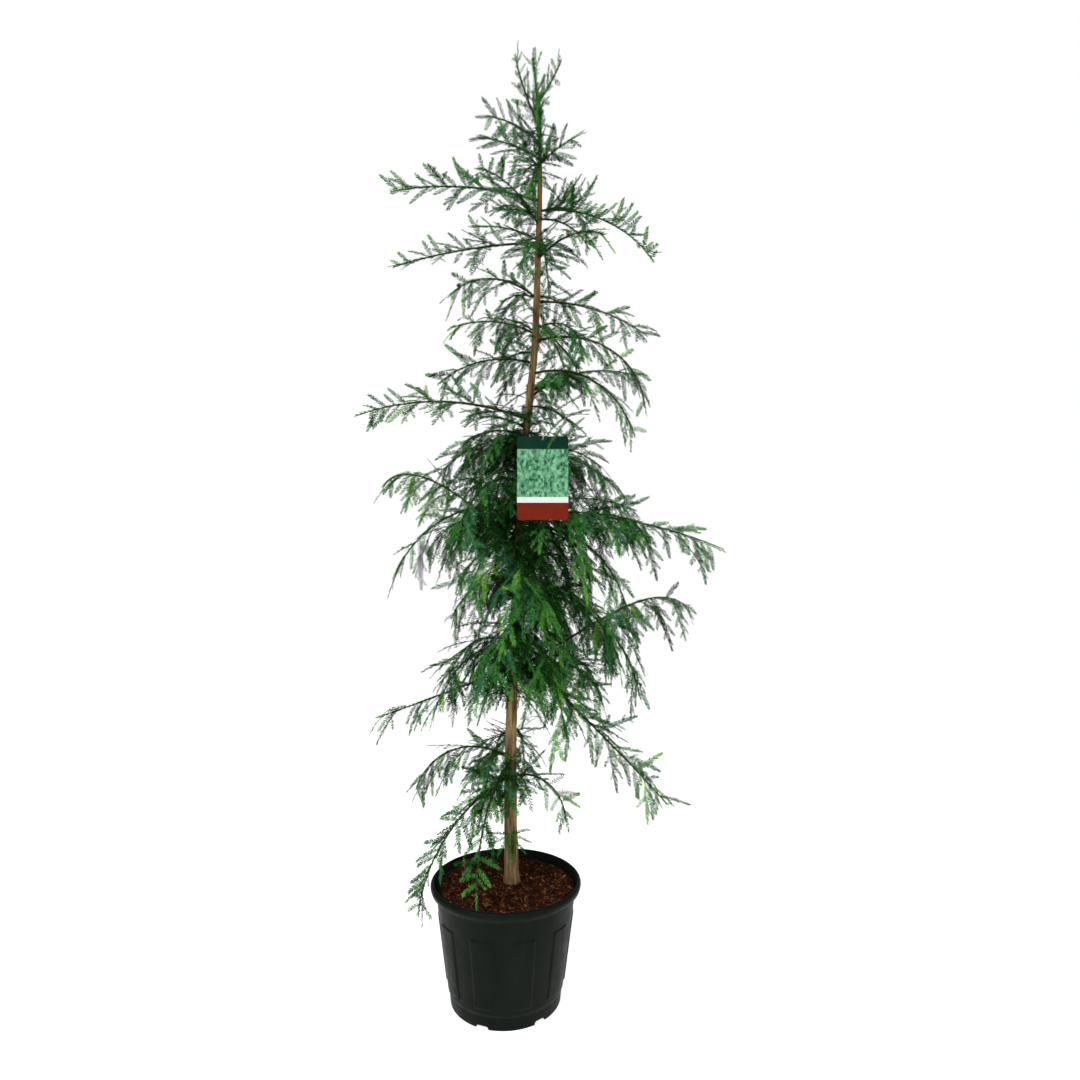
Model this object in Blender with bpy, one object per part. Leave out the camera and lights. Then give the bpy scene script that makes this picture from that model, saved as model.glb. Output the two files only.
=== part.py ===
# Young coast redwood in a round nursery pot.
# Metres, +Z up. The origin is the centre of the pot's flat underside.
# The plant's left and right are along -X and +X, its front is towards -Y.

import math
import random
from collections import namedtuple

import bpy
import bmesh
from mathutils import Vector
from mathutils.bvhtree import BVHTree

# Clearances
GAP = 0.0003            # air between two neighbouring solids
STEM_GAP = 0.0004       # air between a bough's tip and its stem
TEST_GROW = 0.0006      # a spray is tested this much fatter than it is made

# Pot
PANELS = 10             # raised upright panels round the wall
PANEL_STEP = 360.0 / PANELS
PANEL_SPAN = 18.0       # degrees that one panel covers
PANEL_SIDE = 1.2        # degrees that the panel's side slope covers
PANEL_RISE = 0.0025
PANEL_FOOT = 0.052
PANEL_HEAD = 0.231
PANEL_SLOPE = 0.004
WALL = 0.0025
FLOOR = 0.004
FOOT_STEP_RISE = 0.006  # height of the small step above the foot
FOOT_RADIUS = 0.1490
FOOT_TOP = 0.034
STEP_IN = 0.0030
NECK_Z = 0.283
NECK_RADIUS = 0.1895
LIP_RADIUS = 0.2050
LIP_UNDER = 0.287
# The lip's profile: height above its underside or below the rim, and how far
# it stays inside the lip's full radius.
LIP_PROFILE_LOW = ((0.0, 0.0060), (0.0060, 0.0015))
LIP_PROFILE_HIGH = ((0.0070, 0.0), (0.0015, 0.0030), (0.0, 0.0070))
RIM_Z = 0.311
RIM_INNER = 0.1950
NOTCHES = 6
NOTCH_WIDTH = 0.036
NOTCH_HEIGHT = 0.013
NOTCH_INNER = 0.136
NOTCH_OUTER = 0.170
NOTCH_TAPER = 0.004     # a notch is this much narrower at its top, on each side
NOTCH_FIRST = 249.0     # azimuth of the notch left of the front

# Soil
SOIL_MEAN = 0.292
SOIL_RINGS = (0.22, 0.50, 0.80)
SOIL_BUMP = 0.0030
SOIL_BACK_SLOPE = 0.02
SOIL_EDGE_DROP = 0.002
FOOT_FLAT = 0.040       # the soil is level this far round the trunk's foot
FOOT_BLEND = 0.030      # and reaches its own height over this width
FOOT_RING_SHARE = 0.9   # size of the innermost ring, centred on the trunk

# Trunk: height, sideways place and radius of its stations
GROUND = 0.2980
TRUNK_STATIONS = (
    (0.298, 0.016, 0.0225),
    (0.330, 0.014, 0.0190),
    (0.450, 0.012, 0.0172),
    (0.620, 0.011, 0.0158),
    (0.800, 0.014, 0.0148),
    (1.120, 0.029, 0.0128),
    (1.440, 0.041, 0.0112),
    (1.620, 0.062, 0.0105),
    (1.800, 0.079, 0.0098),
    (2.050, 0.087, 0.0086),
    (2.280, 0.093, 0.0066),
    (2.420, 0.093, 0.0048),
    (2.530, 0.086, 0.0034),
    (2.655, 0.072, 0.0018),
)
TRUNK_TOP = 2.655
TRUNK_RINGS = 19
TRUNK_SIDES = 10
TRUNK_CROWDING = 1.12   # above 1 the rings crowd towards the foot

# Limbs
LIMB_ROOT = 0.0034      # radius at the trunk of a limb without length
LIMB_GAIN = 0.0052      # radius that each metre of length adds
LIMB_TAPER = 0.85
BOUGH_SIDES = 6
STEM_SIDES = 3
BOUGH_RING_STEP = 0.05
STEM_RING_STEP = 0.09
LIMB_STEPS = 24
STEM_TIP_RADIUS = 0.0018
STEM_END = 0.90         # the stem stops here, its last spray goes on to 1

# Sprays
SPRAY_ANGLE = 54.0      # degrees between a side spray and its stem
TOOTH_ANGLE = 46.0      # degrees between a tooth and the spray's midrib
PETIOLE = 0.10          # share of the spray before its first tooth
TOOTHED = 0.80          # share of the spray where its last tooth ends
CORE_WIDTH = 0.0021
CORE_HEIGHT = 0.0019
TOOTH_DROOP = 0.16
CORE_WIDTH_LOSS = 0.60  # share of its width that the core loses by its tip
CORE_HEIGHT_LOSS = 0.35
ROOT_WIDTH = 0.36       # half width of a spray's root, as a share of the stem's radius
ROOT_HEIGHT = 0.40
ROOT_SINK = 0.30        # share of its height that the root lies below the stem's line
TOOTH_SWELL = 0.28      # the middle teeth are this share longer
TOOTH_LOSS = 0.38       # and the outer ones this share shorter
HANG_START = 0.35       # share of a spray's hang that it has at its root
SPRAY_TRIES = 26
LONG_SPRAY = 0.110      # a spray longer than this has three pairs of teeth
SPRAY_WIDTH = 0.42      # reach of the longest tooth, as a share of the spray
MIN_SPRAY = 0.045
MIN_END_SPRAY = 0.055
OUTWARD_LOSS = 0.42     # a spray at the tip is this share shorter
ROLL_SPREAD = 16        # degrees, either way
ANGLE_SPREAD = 12       # degrees, either way
HANG_SPREAD = (0.75, 1.3)
FULL_SIZE_TRIES = 7     # a spray that finds no room shrinks after these
SHRINK = 0.03
SHIFT_RANGE = 0.02      # a spray may move this share along its stem to find room
MIDRIB_STEPS = 10
FIRST_SEED = 100
END_INSET = 0.03        # the spray at the tip starts this share before the stem's end
SIDE_INSET = 0.04       # and the last of the side sprays this share before it

# Label card and the loop that it hangs from
CARD_WIDTH = 0.134
CARD_HEIGHT = 0.220
CARD_THICK = 0.0012
CARD_CORNER = 0.006
CARD_PLACE = (0.1000, -0.1500, 1.3920)
CARD_HOLE = 0.0040
CARD_HOLE_DROP = 0.0080
CARD_CORNER_POINTS = 4
HOLE_SIDES = 10
HOLE_DEPTH = 0.02
LOOP_HEIGHT = 1.512     # height where the loop goes round the trunk
LOOP_TUBE = 0.0011
LOOP_POINTS = 22
LOOP_SIDES = 5
LOOP_BEHIND = 0.008     # room behind the trunk
LOOP_BEFORE = 0.006     # room before the card
LOOP_HALF_WIDTH = 0.027
LOOP_HALF_DROP = 0.012
LOOP_LINK_DROP = 0.003  # below the card's top edge
SMOOTH_ANGLE = 40.0     # edges sharper than this stay crisp on round pieces

# One limb of the tree. height is where it leaves the trunk, azimuth 0 is +X
# and 90 is +Y, rise and fall are its slope at the root and at the tip, and
# late above 1 keeps the turn for the outer end. bare is the share of the
# limb that is a bough of its own, and first is where its sprays begin. roll
# turns the frond about the limb, hang pulls the sprays down, sprays counts
# them and reach is the longest one.
Limb = namedtuple(
    "Limb", "name height azimuth length rise fall late bare first roll hang sprays reach"
)

LIMBS = (
    Limb("left_leader", 2.455, 186, 0.22, 62, 80, 1, 0, 0.12, 15, -0.1, 4, 0.085),
    Limb("right_leader", 2.520, 5, 0.150, 58, 68, 1, 0, 0.12, -15, -0.1, 4, 0.065),
    Limb("left_shoot", 2.400, 178, 0.180, 48, 10, 1, 0, 0.12, 20, 0.2, 4, 0.098),
    Limb("left_top", 2.35, 205, 0.190, 18, -10, 1, 0, 0.12, -10, 0.3, 5, 0.116),
    Limb("right_top", 2.335, 345, 0.12, 44, 20, 1, 0, 0.12, 10, 0.2, 4, 0.104),
    Limb("back_top", 2.320, 95, 0.23, 35, -12, 1, 0, 0.12, 0, 0.3, 5, 0.116),
    Limb("left_high_long", 2.225, 186, 0.430, 15, -14, 1, 0.22, 0.27, 6, 0.1, 6, 0.12),
    Limb("left_upper_long", 2.100, 172, 0.440, 3, -14, 1, 0.22, 0.27, -8, 0.1, 6, 0.125),
    Limb("front_high_left", 2.150, 235, 0.28, 35, -20, 1, 0, 0.12, 10, 0.3, 5, 0.116),
    Limb("right_high_long", 2.195, 1, 0.385, 10, -58, 1, 0, 0.12, 22, -1.1, 6, 0.135),
    Limb("front_high_right", 2.050, 315, 0.260, 28, -35, 1, 0, 0.12, -12, 0.9, 5, 0.122),
    Limb("back_high", 2.130, 84, 0.36, 20, -30, 1, 0, 0.12, 5, 0.4, 6, 0.140),
    Limb("left_high_arch", 1.935, 206, 0.290, 34, -52, 1, 0, 0.1, 8, 0.9, 5, 0.145),
    Limb("left_mid", 1.830, 162, 0.275, 34, -12, 1, 0, 0.1, -8, 1.6, 5, 0.145),
    Limb("left_mid_arch", 1.745, 190, 0.290, 14, -45, 1, 0, 0.1, 14, 1.3, 5, 0.158),
    Limb("right_high_arch", 1.925, 8, 0.345, 6, -34, 1, 0.16, 0.22, -14, 0.8, 6, 0.139),
    Limb("right_mid_arch", 1.810, 352, 0.420, 14, -85, 1.1, 0.18, 0.24, 10, 1.2, 6, 0.139),
    Limb("right_mid", 1.715, 325, 0.420, 4, -72, 1, 0, 0.1, -10, 1.3, 6, 0.158),
    Limb("back_mid", 1.860, 72, 0.40, 18, -48, 1, 0, 0.1, 5, 1.1, 6, 0.165),
    Limb("left_mid_long", 1.582, 182, 0.497, 22, -20, 1, 0.26, 0.32, 10, 0.5, 6, 0.140),
    Limb("left_belt_high", 1.530, 155, 0.310, 10, -42, 1, 0, 0.1, 6, 2.0, 5, 0.227),
    Limb("right_mid_rise", 1.645, 12, 0.350, 42, -14, 1, 0, 0.1, -12, 1.1, 5, 0.139),
    Limb("front_belt_top", 1.620, 305, 0.230, -10, -38, 1, 0, 0.1, 8, 1.0, 4, 0.139),
    Limb("right_belt_high", 1.480, 25, 0.320, 14, -42, 1, 0, 0.1, -6, 2.0, 5, 0.227),
    Limb("back_belt_high", 1.540, 98, 0.41, 10, -50, 1, 0, 0.1, 4, 2.0, 5, 0.227),
    Limb("left_rising", 1.24, 176, 0.460, 36, -60, 5, 0.45, 0.5, 12, 1.6, 5, 0.172),
    Limb("left_droop", 1.330, 205, 0.43, 10, -66, 1, 0, 0.1, -10, 2.4, 7, 0.205),
    Limb("right_long", 1.300, 347, 0.570, 6, -26, 1, 0.18, 0.23, 14, 1.9, 6, 0.220),
    Limb("right_droop", 1.270, 332, 0.460, 8, -84, 1, 0, 0.1, 10, 2.1, 6, 0.235),
    Limb("front_belt_left", 1.400, 243, 0.39, 10, -66, 1, 0, 0.1, 8, 2.0, 5, 0.220),
    Limb("front_belt", 1.190, 274, 0.43, 8, -68, 1, 0, 0.1, 6, 2.1, 6, 0.235),
    Limb("back_belt_left", 1.350, 130, 0.46, 12, -60, 1, 0, 0.1, -6, 2.1, 6, 0.243),
    Limb("back_belt_right", 1.220, 64, 0.51, 12, -65, 1, 0, 0.1, 6, 2.1, 6, 0.243),
    Limb("left_low_long", 0.885, 181, 0.400, -22, -19, 1, 0, 0.1, 14, 1.8, 5, 0.165),
    Limb("left_low_droop", 0.943, 212, 0.290, 10, -74, 1, 0, 0.1, -8, 2.1, 5, 0.198),
    Limb("right_arch", 0.870, 6, 0.590, 30, -80, 6, 0.38, 0.44, 12, 2.4, 5, 0.215),
    Limb("right_curtain", 1.090, 18, 0.530, 2, -80, 1, 0, 0.1, -10, 2.4, 6, 0.243),
    Limb("right_low_long", 0.925, 336, 0.560, -36, -44, 1, 0.22, 0.27, 14, 0.9, 6, 0.17),
    Limb("front_low", 0.985, 296, 0.41, 2, -78, 1, 0, 0.1, 6, 2.2, 5, 0.220),
    Limb("back_low", 0.965, 99, 0.50, 5, -65, 1, 0, 0.1, 5, 2.1, 6, 0.243),
    Limb("left_belt_low", 1.16, 174, 0.25, -8, -66, 1, 0, 0.1, -8, 2.2, 5, 0.205),
    Limb("left_pot_upper", 0.63, 172, 0.330, 34, -72, 1, 0, 0.1, 8, 1.9, 6, 0.175),
    Limb("left_pot", 0.585, 200, 0.440, -22, -84, 1, 0, 0.1, -8, 0.8, 6, 0.130),
    Limb("front_pot", 0.620, 247, 0.400, -5, -95, 0.7, 0, 0.1, 8, 0.7, 5, 0.117),
    Limb("right_pot", 0.575, 330, 0.235, 36, -88, 1, 0, 0.14, 10, 0.4, 5, 0.104),
    Limb("back_pot", 0.680, 84, 0.39, 15, -75, 1, 0, 0.1, 6, 1.1, 6, 0.163),
)


# Materials

def make_material(name, colour, roughness, metallic=0.0):
    material = bpy.data.materials.new(name)
    material.use_nodes = True
    shader = material.node_tree.nodes["Principled BSDF"]
    shader.inputs["Base Color"].default_value = (*colour, 1.0)
    shader.inputs["Roughness"].default_value = roughness
    shader.inputs["Metallic"].default_value = metallic
    material.diffuse_color = (*colour, 1.0)
    return material


POT_COLOUR = (0.020, 0.027, 0.025)
SOIL_COLOUR = (0.060, 0.022, 0.012)
BARK_COLOUR = (0.230, 0.135, 0.070)
BOUGH_COLOUR = (0.120, 0.085, 0.045)
LEAF_COLOUR = (0.060, 0.190, 0.060)
CARD_COLOUR = (0.170, 0.330, 0.220)
LOOP_COLOUR = (0.600, 0.620, 0.600)


# Mesh helpers

def add_object(name, bm, material):
    bmesh.ops.recalc_face_normals(bm, faces=bm.faces[:])
    mesh = bpy.data.meshes.new(name)
    bm.to_mesh(mesh)
    bm.free()
    obj = bpy.data.objects.new(name, mesh)
    if material:
        mesh.materials.append(material)
    bpy.context.scene.collection.objects.link(obj)
    return obj


def ring_mesh(rings):
    """Close a tube through rings of equal size, with a flat cap at each end."""
    bm = bmesh.new()
    rows = [[bm.verts.new(point) for point in ring] for ring in rings]
    count = len(rows[0])
    for low, high in zip(rows, rows[1:]):
        for i in range(count):
            j = (i + 1) % count
            bm.faces.new((low[i], low[j], high[j], high[i]))
    bm.faces.new(rows[0][::-1])
    bm.faces.new(rows[-1])
    return bm


def tube(points, tangents, radii, sides):
    """Rings square to the path, kept upright so that the tube doesn't twist."""
    rings = []
    for point, tangent, radius in zip(points, tangents, radii):
        across = Vector((0, 0, 1)).cross(tangent)
        if across.length < 1e-4:
            across = Vector((0, 1, 0))
        across.normalize()
        over = tangent.cross(across).normalized()
        ring = []
        for i in range(sides):
            angle = 2 * math.pi * (i + 0.25) / sides
            ring.append(point + radius * (math.cos(angle) * across + math.sin(angle) * over))
        rings.append(ring)
    return ring_mesh(rings)


def tree_of(bm):
    return BVHTree.FromBMesh(bm)


def remove_object(obj):
    mesh = obj.data
    bpy.data.objects.remove(obj)
    bpy.data.meshes.remove(mesh)


def apply_modifiers(obj):
    depsgraph = bpy.context.evaluated_depsgraph_get()
    baked = bpy.data.meshes.new_from_object(obj.evaluated_get(depsgraph))
    old = obj.data
    obj.modifiers.clear()
    obj.data = baked
    baked.name = obj.name
    bpy.data.meshes.remove(old)


def keep_main_piece(obj):
    """Drop loose scraps, so that the object is one body."""
    bm = bmesh.new()
    bm.from_mesh(obj.data)
    left = set(bm.verts)
    pieces = []
    while left:
        seed = left.pop()
        piece = {seed}
        front = [seed]
        while front:
            vert = front.pop()
            for edge in vert.link_edges:
                other = edge.other_vert(vert)
                if other in left:
                    left.discard(other)
                    piece.add(other)
                    front.append(other)
        pieces.append(piece)
    pieces.sort(key=len)
    scraps = [vert for piece in pieces[:-1] for vert in piece]
    bmesh.ops.delete(bm, geom=scraps, context="VERTS")
    bm.to_mesh(obj.data)
    bm.free()


def hide_tool(obj):
    """A cutter is never part of the picture."""
    obj.hide_render = True
    obj.display_type = "WIRE"


def smooth(obj):
    """Round pieces are shaded round, and their sharp edges stay sharp."""
    obj.data.shade_smooth()
    obj.data.set_sharp_from_angle(angle=math.radians(SMOOTH_ANGLE))


def cut(obj, cutter):
    hide_tool(cutter)
    modifier = obj.modifiers.new("cut", "BOOLEAN")
    modifier.operation = "DIFFERENCE"
    modifier.solver = "EXACT"
    modifier.object = cutter
    apply_modifiers(obj)


def join_sprays(stem, sprays):
    """Fuse the sprays with their stem in one union, then remove them."""
    group = bpy.data.collections.new(stem.name + "_sprays")
    bpy.context.scene.collection.children.link(group)
    for spray in sprays:
        bpy.context.scene.collection.objects.unlink(spray)
        group.objects.link(spray)
    modifier = stem.modifiers.new("join", "BOOLEAN")
    modifier.operation = "UNION"
    modifier.operand_type = "COLLECTION"
    modifier.solver = "EXACT"
    modifier.collection = group
    apply_modifiers(stem)
    for spray in sprays:
        remove_object(spray)
    bpy.data.collections.remove(group)
    keep_main_piece(stem)


# Trunk and limb paths

def blend(low, high, share):
    return low + (high - low) * share


def trunk_at(z):
    """Centre and radius of the trunk at one height, smooth between stations."""
    z = min(max(z, TRUNK_STATIONS[0][0]), TRUNK_STATIONS[-1][0])
    for low, high in zip(TRUNK_STATIONS, TRUNK_STATIONS[1:]):
        if z <= high[0]:
            share = (z - low[0]) / (high[0] - low[0])
            return Vector((blend(low[1], high[1], share), 0, z)), blend(low[2], high[2], share)


def trunk_mesh(grow=0.0):
    points = []
    radii = []
    for i in range(TRUNK_RINGS + 1):
        share = i / TRUNK_RINGS
        z = GROUND + (TRUNK_TOP - GROUND) * share ** TRUNK_CROWDING
        centre, radius = trunk_at(z)
        points.append(centre)
        radii.append(radius + grow)
    if grow:
        points[0] = points[0] - Vector((0, 0, grow))
        points[-1] = points[-1] + Vector((0, 0, grow))
    rings = []
    for point, radius in zip(points, radii):
        ring = []
        for i in range(TRUNK_SIDES):
            angle = 2 * math.pi * i / TRUNK_SIDES
            ring.append(point + radius * Vector((math.cos(angle), math.sin(angle), 0)))
        rings.append(ring)
    return ring_mesh(rings)


class Path:
    """The middle line of one limb, from the trunk's axis to its tip."""

    def __init__(self, limb):
        azimuth = math.radians(limb.azimuth)
        self.out = Vector((math.cos(azimuth), math.sin(azimuth), 0))
        self.side = Vector((-math.sin(azimuth), math.cos(azimuth), 0))
        self.length = limb.length
        self.points = [trunk_at(limb.height)[0]]
        self.tangents = []
        step = limb.length / LIMB_STEPS
        for i in range(LIMB_STEPS):
            share = (i + 0.5) / LIMB_STEPS
            slope = math.radians(blend(limb.rise, limb.fall, share ** limb.late))
            direction = math.cos(slope) * self.out + Vector((0, 0, math.sin(slope)))
            self.tangents.append(direction)
            self.points.append(self.points[-1] + step * direction)

    def point(self, share):
        place = min(max(share, 0.0), 0.99999) * LIMB_STEPS
        i = int(place)
        return self.points[i].lerp(self.points[i + 1], place - i)

    def tangent(self, share):
        place = min(max(share * LIMB_STEPS - 0.5, 0.0), LIMB_STEPS - 1.001)
        i = int(place)
        return self.tangents[i].lerp(self.tangents[i + 1], place - i).normalized()


def limb_radius(limb, share):
    base = LIMB_ROOT + LIMB_GAIN * limb.length
    return blend(base, STEM_TIP_RADIUS, share ** LIMB_TAPER)


def ring_shares(limb, start, end, step):
    count = max(2, round(limb.length * (end - start) / step))
    return [blend(start, end, i / count) for i in range(count + 1)]


def chord_point(path, shares, share):
    """The point on the straight run between two rings, where a spray is rooted."""
    for low, high in zip(shares, shares[1:]):
        if share <= high:
            part = (share - low) / (high - low)
            return path.point(low).lerp(path.point(high), part)
    return path.point(share)


def limb_tube(limb, path, shares, sides, tangent=None):
    points = [path.point(share) for share in shares]
    tangents = [path.tangent(share) for share in shares]
    if tangent:
        tangents[0] = tangent
    radii = [limb_radius(limb, share) for share in shares]
    return tube(points, tangents, radii, sides)


# Sprays

class SprayPlan:
    """Where one spray starts, where it points, and how big it is."""

    def __init__(self, root, direction, across, length, width, teeth, hang, root_radius):
        self.root = root
        self.direction = direction
        self.across = across
        self.length = length
        self.width = width
        self.teeth = teeth
        self.hang = hang
        self.root_radius = root_radius

    def midrib(self, distance):
        """Point and direction along the midrib, which gravity bends."""
        point = self.root.copy()
        direction = self.direction.copy()
        walked = 0.0
        stride = self.length / MIDRIB_STEPS
        while walked < distance - 1e-9:
            part = min(stride, distance - walked)
            middle = (walked + part / 2) / self.length
            pull = self.hang * blend(HANG_START, 1.0, middle)
            direction = (self.direction - Vector((0, 0, pull))).normalized()
            point = point + part * direction
            walked += part
        return point, direction


def spray_mesh(plan, grow=0.0):
    """A toothed blade: a flat underside, a ridge on top, and forward teeth."""
    bm = bmesh.new()
    tooth_slope = math.tan(math.radians(TOOTH_ANGLE))
    across = plan.across
    stations = [0.0]
    for i in range(plan.teeth + 1):
        stations.append(plan.length * blend(PETIOLE, TOOTHED, i / plan.teeth))
    ridges = []
    lefts = []
    rights = []
    for i, station in enumerate(stations):
        point, direction = plan.midrib(station)
        over = direction.cross(across).normalized()
        if over.z < 0:
            over = -over
        width = CORE_WIDTH * (1.0 - CORE_WIDTH_LOSS * station / plan.length)
        height = CORE_HEIGHT * (1.0 - CORE_HEIGHT_LOSS * station / plan.length)
        back = width / tooth_slope
        if i == 0:
            width = ROOT_WIDTH * plan.root_radius
            height = ROOT_HEIGHT * plan.root_radius
            back = 0.0
            point = point - ROOT_SINK * height * over
        point = point - grow * over
        ridges.append(bm.verts.new(point + (height + 2 * grow) * over - back * direction))
        lefts.append(bm.verts.new(point + (width + grow) * across))
        rights.append(bm.verts.new(point - (width + grow) * across))
    tip_point, tip_direction = plan.midrib(plan.length)
    tip = bm.verts.new(tip_point + grow * tip_direction)
    bm.faces.new((ridges[0], lefts[0], rights[0]))
    for side, rows in ((1, lefts), (-1, rights)):
        bm.faces.new((ridges[0], rows[0], rows[1]))
        bm.faces.new((ridges[0], rows[1], ridges[1]))
        for i in range(1, plan.teeth + 1):
            point, direction = plan.midrib(stations[i])
            along = (i - 0.5) / plan.teeth
            swell = math.sin(math.pi * min(along + 0.15, 1.0))
            wide = plan.width * (1.0 - TOOTH_SWELL + TOOTH_SWELL * swell)
            wide = wide * (1.0 - TOOTH_LOSS * along) + grow
            place = point + direction * (wide / tooth_slope) + side * wide * across
            place = place - Vector((0, 0, TOOTH_DROOP * wide))
            tooth = bm.verts.new(place)
            bm.faces.new((ridges[i], rows[i], tooth))
            bm.faces.new((ridges[i], tooth, ridges[i + 1]))
            bm.faces.new((ridges[i + 1], tooth, rows[i + 1]))
            bm.faces.new((rows[i], rows[i + 1], tooth))
        bm.faces.new((ridges[-1], rows[-1], tip))
    for i in range(len(stations) - 1):
        bm.faces.new((lefts[i], lefts[i + 1], rights[i + 1]))
        bm.faces.new((lefts[i], rights[i + 1], rights[i]))
    bm.faces.new((lefts[-1], rights[-1], tip))
    return bm


def plan_spray(limb, path, shares, share, side, rng, length):
    """Point one spray out of its stem, in the frond's own plane."""
    tangent = path.tangent(share)
    flat = path.side
    over = tangent.cross(flat).normalized()
    roll = math.radians(limb.roll + rng.uniform(-ROLL_SPREAD, ROLL_SPREAD))
    sideways = (math.cos(roll) * flat + math.sin(roll) * over).normalized()
    spread = math.radians(SPRAY_ANGLE + rng.uniform(-ANGLE_SPREAD, ANGLE_SPREAD))
    if side == 0:
        direction = (tangent + Vector((0, 0, rng.uniform(-0.1, 0.05)))).normalized()
        across = (sideways - sideways.dot(direction) * direction).normalized()
    else:
        direction = math.cos(spread) * tangent + side * math.sin(spread) * sideways
        direction = direction.normalized()
        normal = tangent.cross(sideways).normalized()
        across = normal.cross(direction).normalized()
    teeth = 3 if length > LONG_SPRAY else 2
    width = length * SPRAY_WIDTH
    return SprayPlan(
        chord_point(path, shares, share), direction, across, length, width, teeth,
        limb.hang * rng.uniform(*HANG_SPREAD), limb_radius(limb, share),
    )


def bounds_of(bm):
    low = [min(vert.co[axis] for vert in bm.verts) for axis in range(3)]
    high = [max(vert.co[axis] for vert in bm.verts) for axis in range(3)]
    return low, high


class Obstacles:
    """Everything that a new spray has to stay clear of."""

    def __init__(self):
        self.items = []

    def add(self, owner, bm):
        self.items.append((owner, *bounds_of(bm), tree_of(bm)))

    def hit(self, bm, skip=()):
        low, high = bounds_of(bm)
        tree = tree_of(bm)
        for owner, other_low, other_high, other in self.items:
            if owner in skip:
                continue
            if any(low[axis] > other_high[axis] for axis in range(3)):
                continue
            if any(high[axis] < other_low[axis] for axis in range(3)):
                continue
            if tree.overlap(other):
                return owner
        return None


# Pot

def pot_columns():
    """Azimuth of each column, and whether it stands on a panel."""
    columns = []
    for i in range(PANELS):
        start = 270.0 + PANEL_STEP * i + PANEL_STEP / 2 - PANEL_SPAN / 2
        columns.append((start, False))
        columns.append((start + PANEL_SIDE, True))
        columns.append((start + PANEL_SPAN - PANEL_SIDE, True))
        columns.append((start + PANEL_SPAN, False))
    return columns


def wall_radius(z):
    """Outer radius of the plain wall between the foot and the neck."""
    share = (z - FOOT_TOP) / (NECK_Z - FOOT_TOP)
    return blend(FOOT_RADIUS + 2 * STEP_IN, NECK_RADIUS, share)


def inner_radius(z):
    """Radius of the pot's inside, below and inside the rolled lip."""
    if z <= LIP_UNDER:
        share = (z - FLOOR) / (LIP_UNDER - FLOOR)
        return blend(FOOT_RADIUS - WALL, NECK_RADIUS - WALL, share)
    share = (z - LIP_UNDER) / (RIM_Z - LIP_UNDER)
    return blend(NECK_RADIUS - WALL, RIM_INNER, share)


def pot_ring(z, radius, rise=0.0):
    ring = []
    for azimuth, raised in pot_columns():
        angle = math.radians(azimuth)
        reach = radius + (rise if raised else 0.0)
        ring.append(Vector((reach * math.cos(angle), reach * math.sin(angle), z)))
    return ring


def pot_mesh():
    panel_top = PANEL_HEAD - PANEL_SLOPE
    panel_low = PANEL_FOOT + PANEL_SLOPE
    rings = [
        pot_ring(0.0, FOOT_RADIUS),
        pot_ring(FOOT_TOP, FOOT_RADIUS + STEP_IN),
        pot_ring(FOOT_TOP + FOOT_STEP_RISE, wall_radius(FOOT_TOP + FOOT_STEP_RISE)),
        pot_ring(PANEL_FOOT, wall_radius(PANEL_FOOT)),
        pot_ring(panel_low, wall_radius(panel_low), PANEL_RISE),
        pot_ring(panel_top, wall_radius(panel_top), PANEL_RISE),
        pot_ring(PANEL_HEAD, wall_radius(PANEL_HEAD)),
        pot_ring(NECK_Z, NECK_RADIUS),
    ]
    rings += [pot_ring(LIP_UNDER + rise, LIP_RADIUS - inset) for rise, inset in LIP_PROFILE_LOW]
    rings += [pot_ring(RIM_Z - drop, LIP_RADIUS - inset) for drop, inset in LIP_PROFILE_HIGH]
    rings += [
        pot_ring(RIM_Z, RIM_INNER),
        pot_ring(LIP_UNDER, inner_radius(LIP_UNDER)),
        pot_ring(FLOOR, inner_radius(FLOOR)),
    ]
    return ring_mesh(rings)


def notch_mesh(azimuth):
    angle = math.radians(azimuth)
    out = Vector((math.cos(angle), math.sin(angle), 0))
    side = Vector((-math.sin(angle), math.cos(angle), 0))
    rings = []
    low_half = NOTCH_WIDTH / 2
    corners = ((NOTCH_INNER, -1), (NOTCH_OUTER, -1), (NOTCH_OUTER, 1), (NOTCH_INNER, 1))
    for z, half in ((-0.004, low_half), (NOTCH_HEIGHT, low_half - NOTCH_TAPER)):
        ring = []
        for reach, sign in corners:
            ring.append(out * reach + side * sign * half + Vector((0, 0, z)))
        rings.append(ring)
    return ring_mesh(rings)


def soil_height(x, y, rng):
    """Lumpy mulch, a little lower at the back, level round the trunk."""
    foot = trunk_at(GROUND)[0]
    away = math.hypot(x - foot.x, y)
    level = GROUND - GAP
    lumps = SOIL_MEAN - SOIL_BACK_SLOPE * max(y, 0) + rng.uniform(-SOIL_BUMP, SOIL_BUMP)
    if away < FOOT_FLAT:
        return level
    return blend(level, min(lumps, level), min((away - FOOT_FLAT) / FOOT_BLEND, 1.0))


def soil_mesh():
    rng = random.Random(11)
    edge = SOIL_MEAN - SOIL_EDGE_DROP
    outer = inner_radius(edge) - 1.5 * GAP
    rings = [
        pot_ring(FLOOR + GAP, inner_radius(FLOOR) - 2 * GAP),
        pot_ring(LIP_UNDER, inner_radius(LIP_UNDER) - 2 * GAP),
        pot_ring(edge, outer),
    ]
    for share in reversed(SOIL_RINGS):
        ring = pot_ring(0.0, outer * share)
        if share == SOIL_RINGS[0]:
            foot = trunk_at(GROUND)[0]
            ring = [
                Vector((foot.x + FOOT_RING_SHARE * point.x, FOOT_RING_SHARE * point.y, 0))
                for point in ring
            ]
        for point in ring:
            point.z = soil_height(point.x, point.y, rng)
        rings.append(ring)
    return ring_mesh(rings)


# Label card

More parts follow.
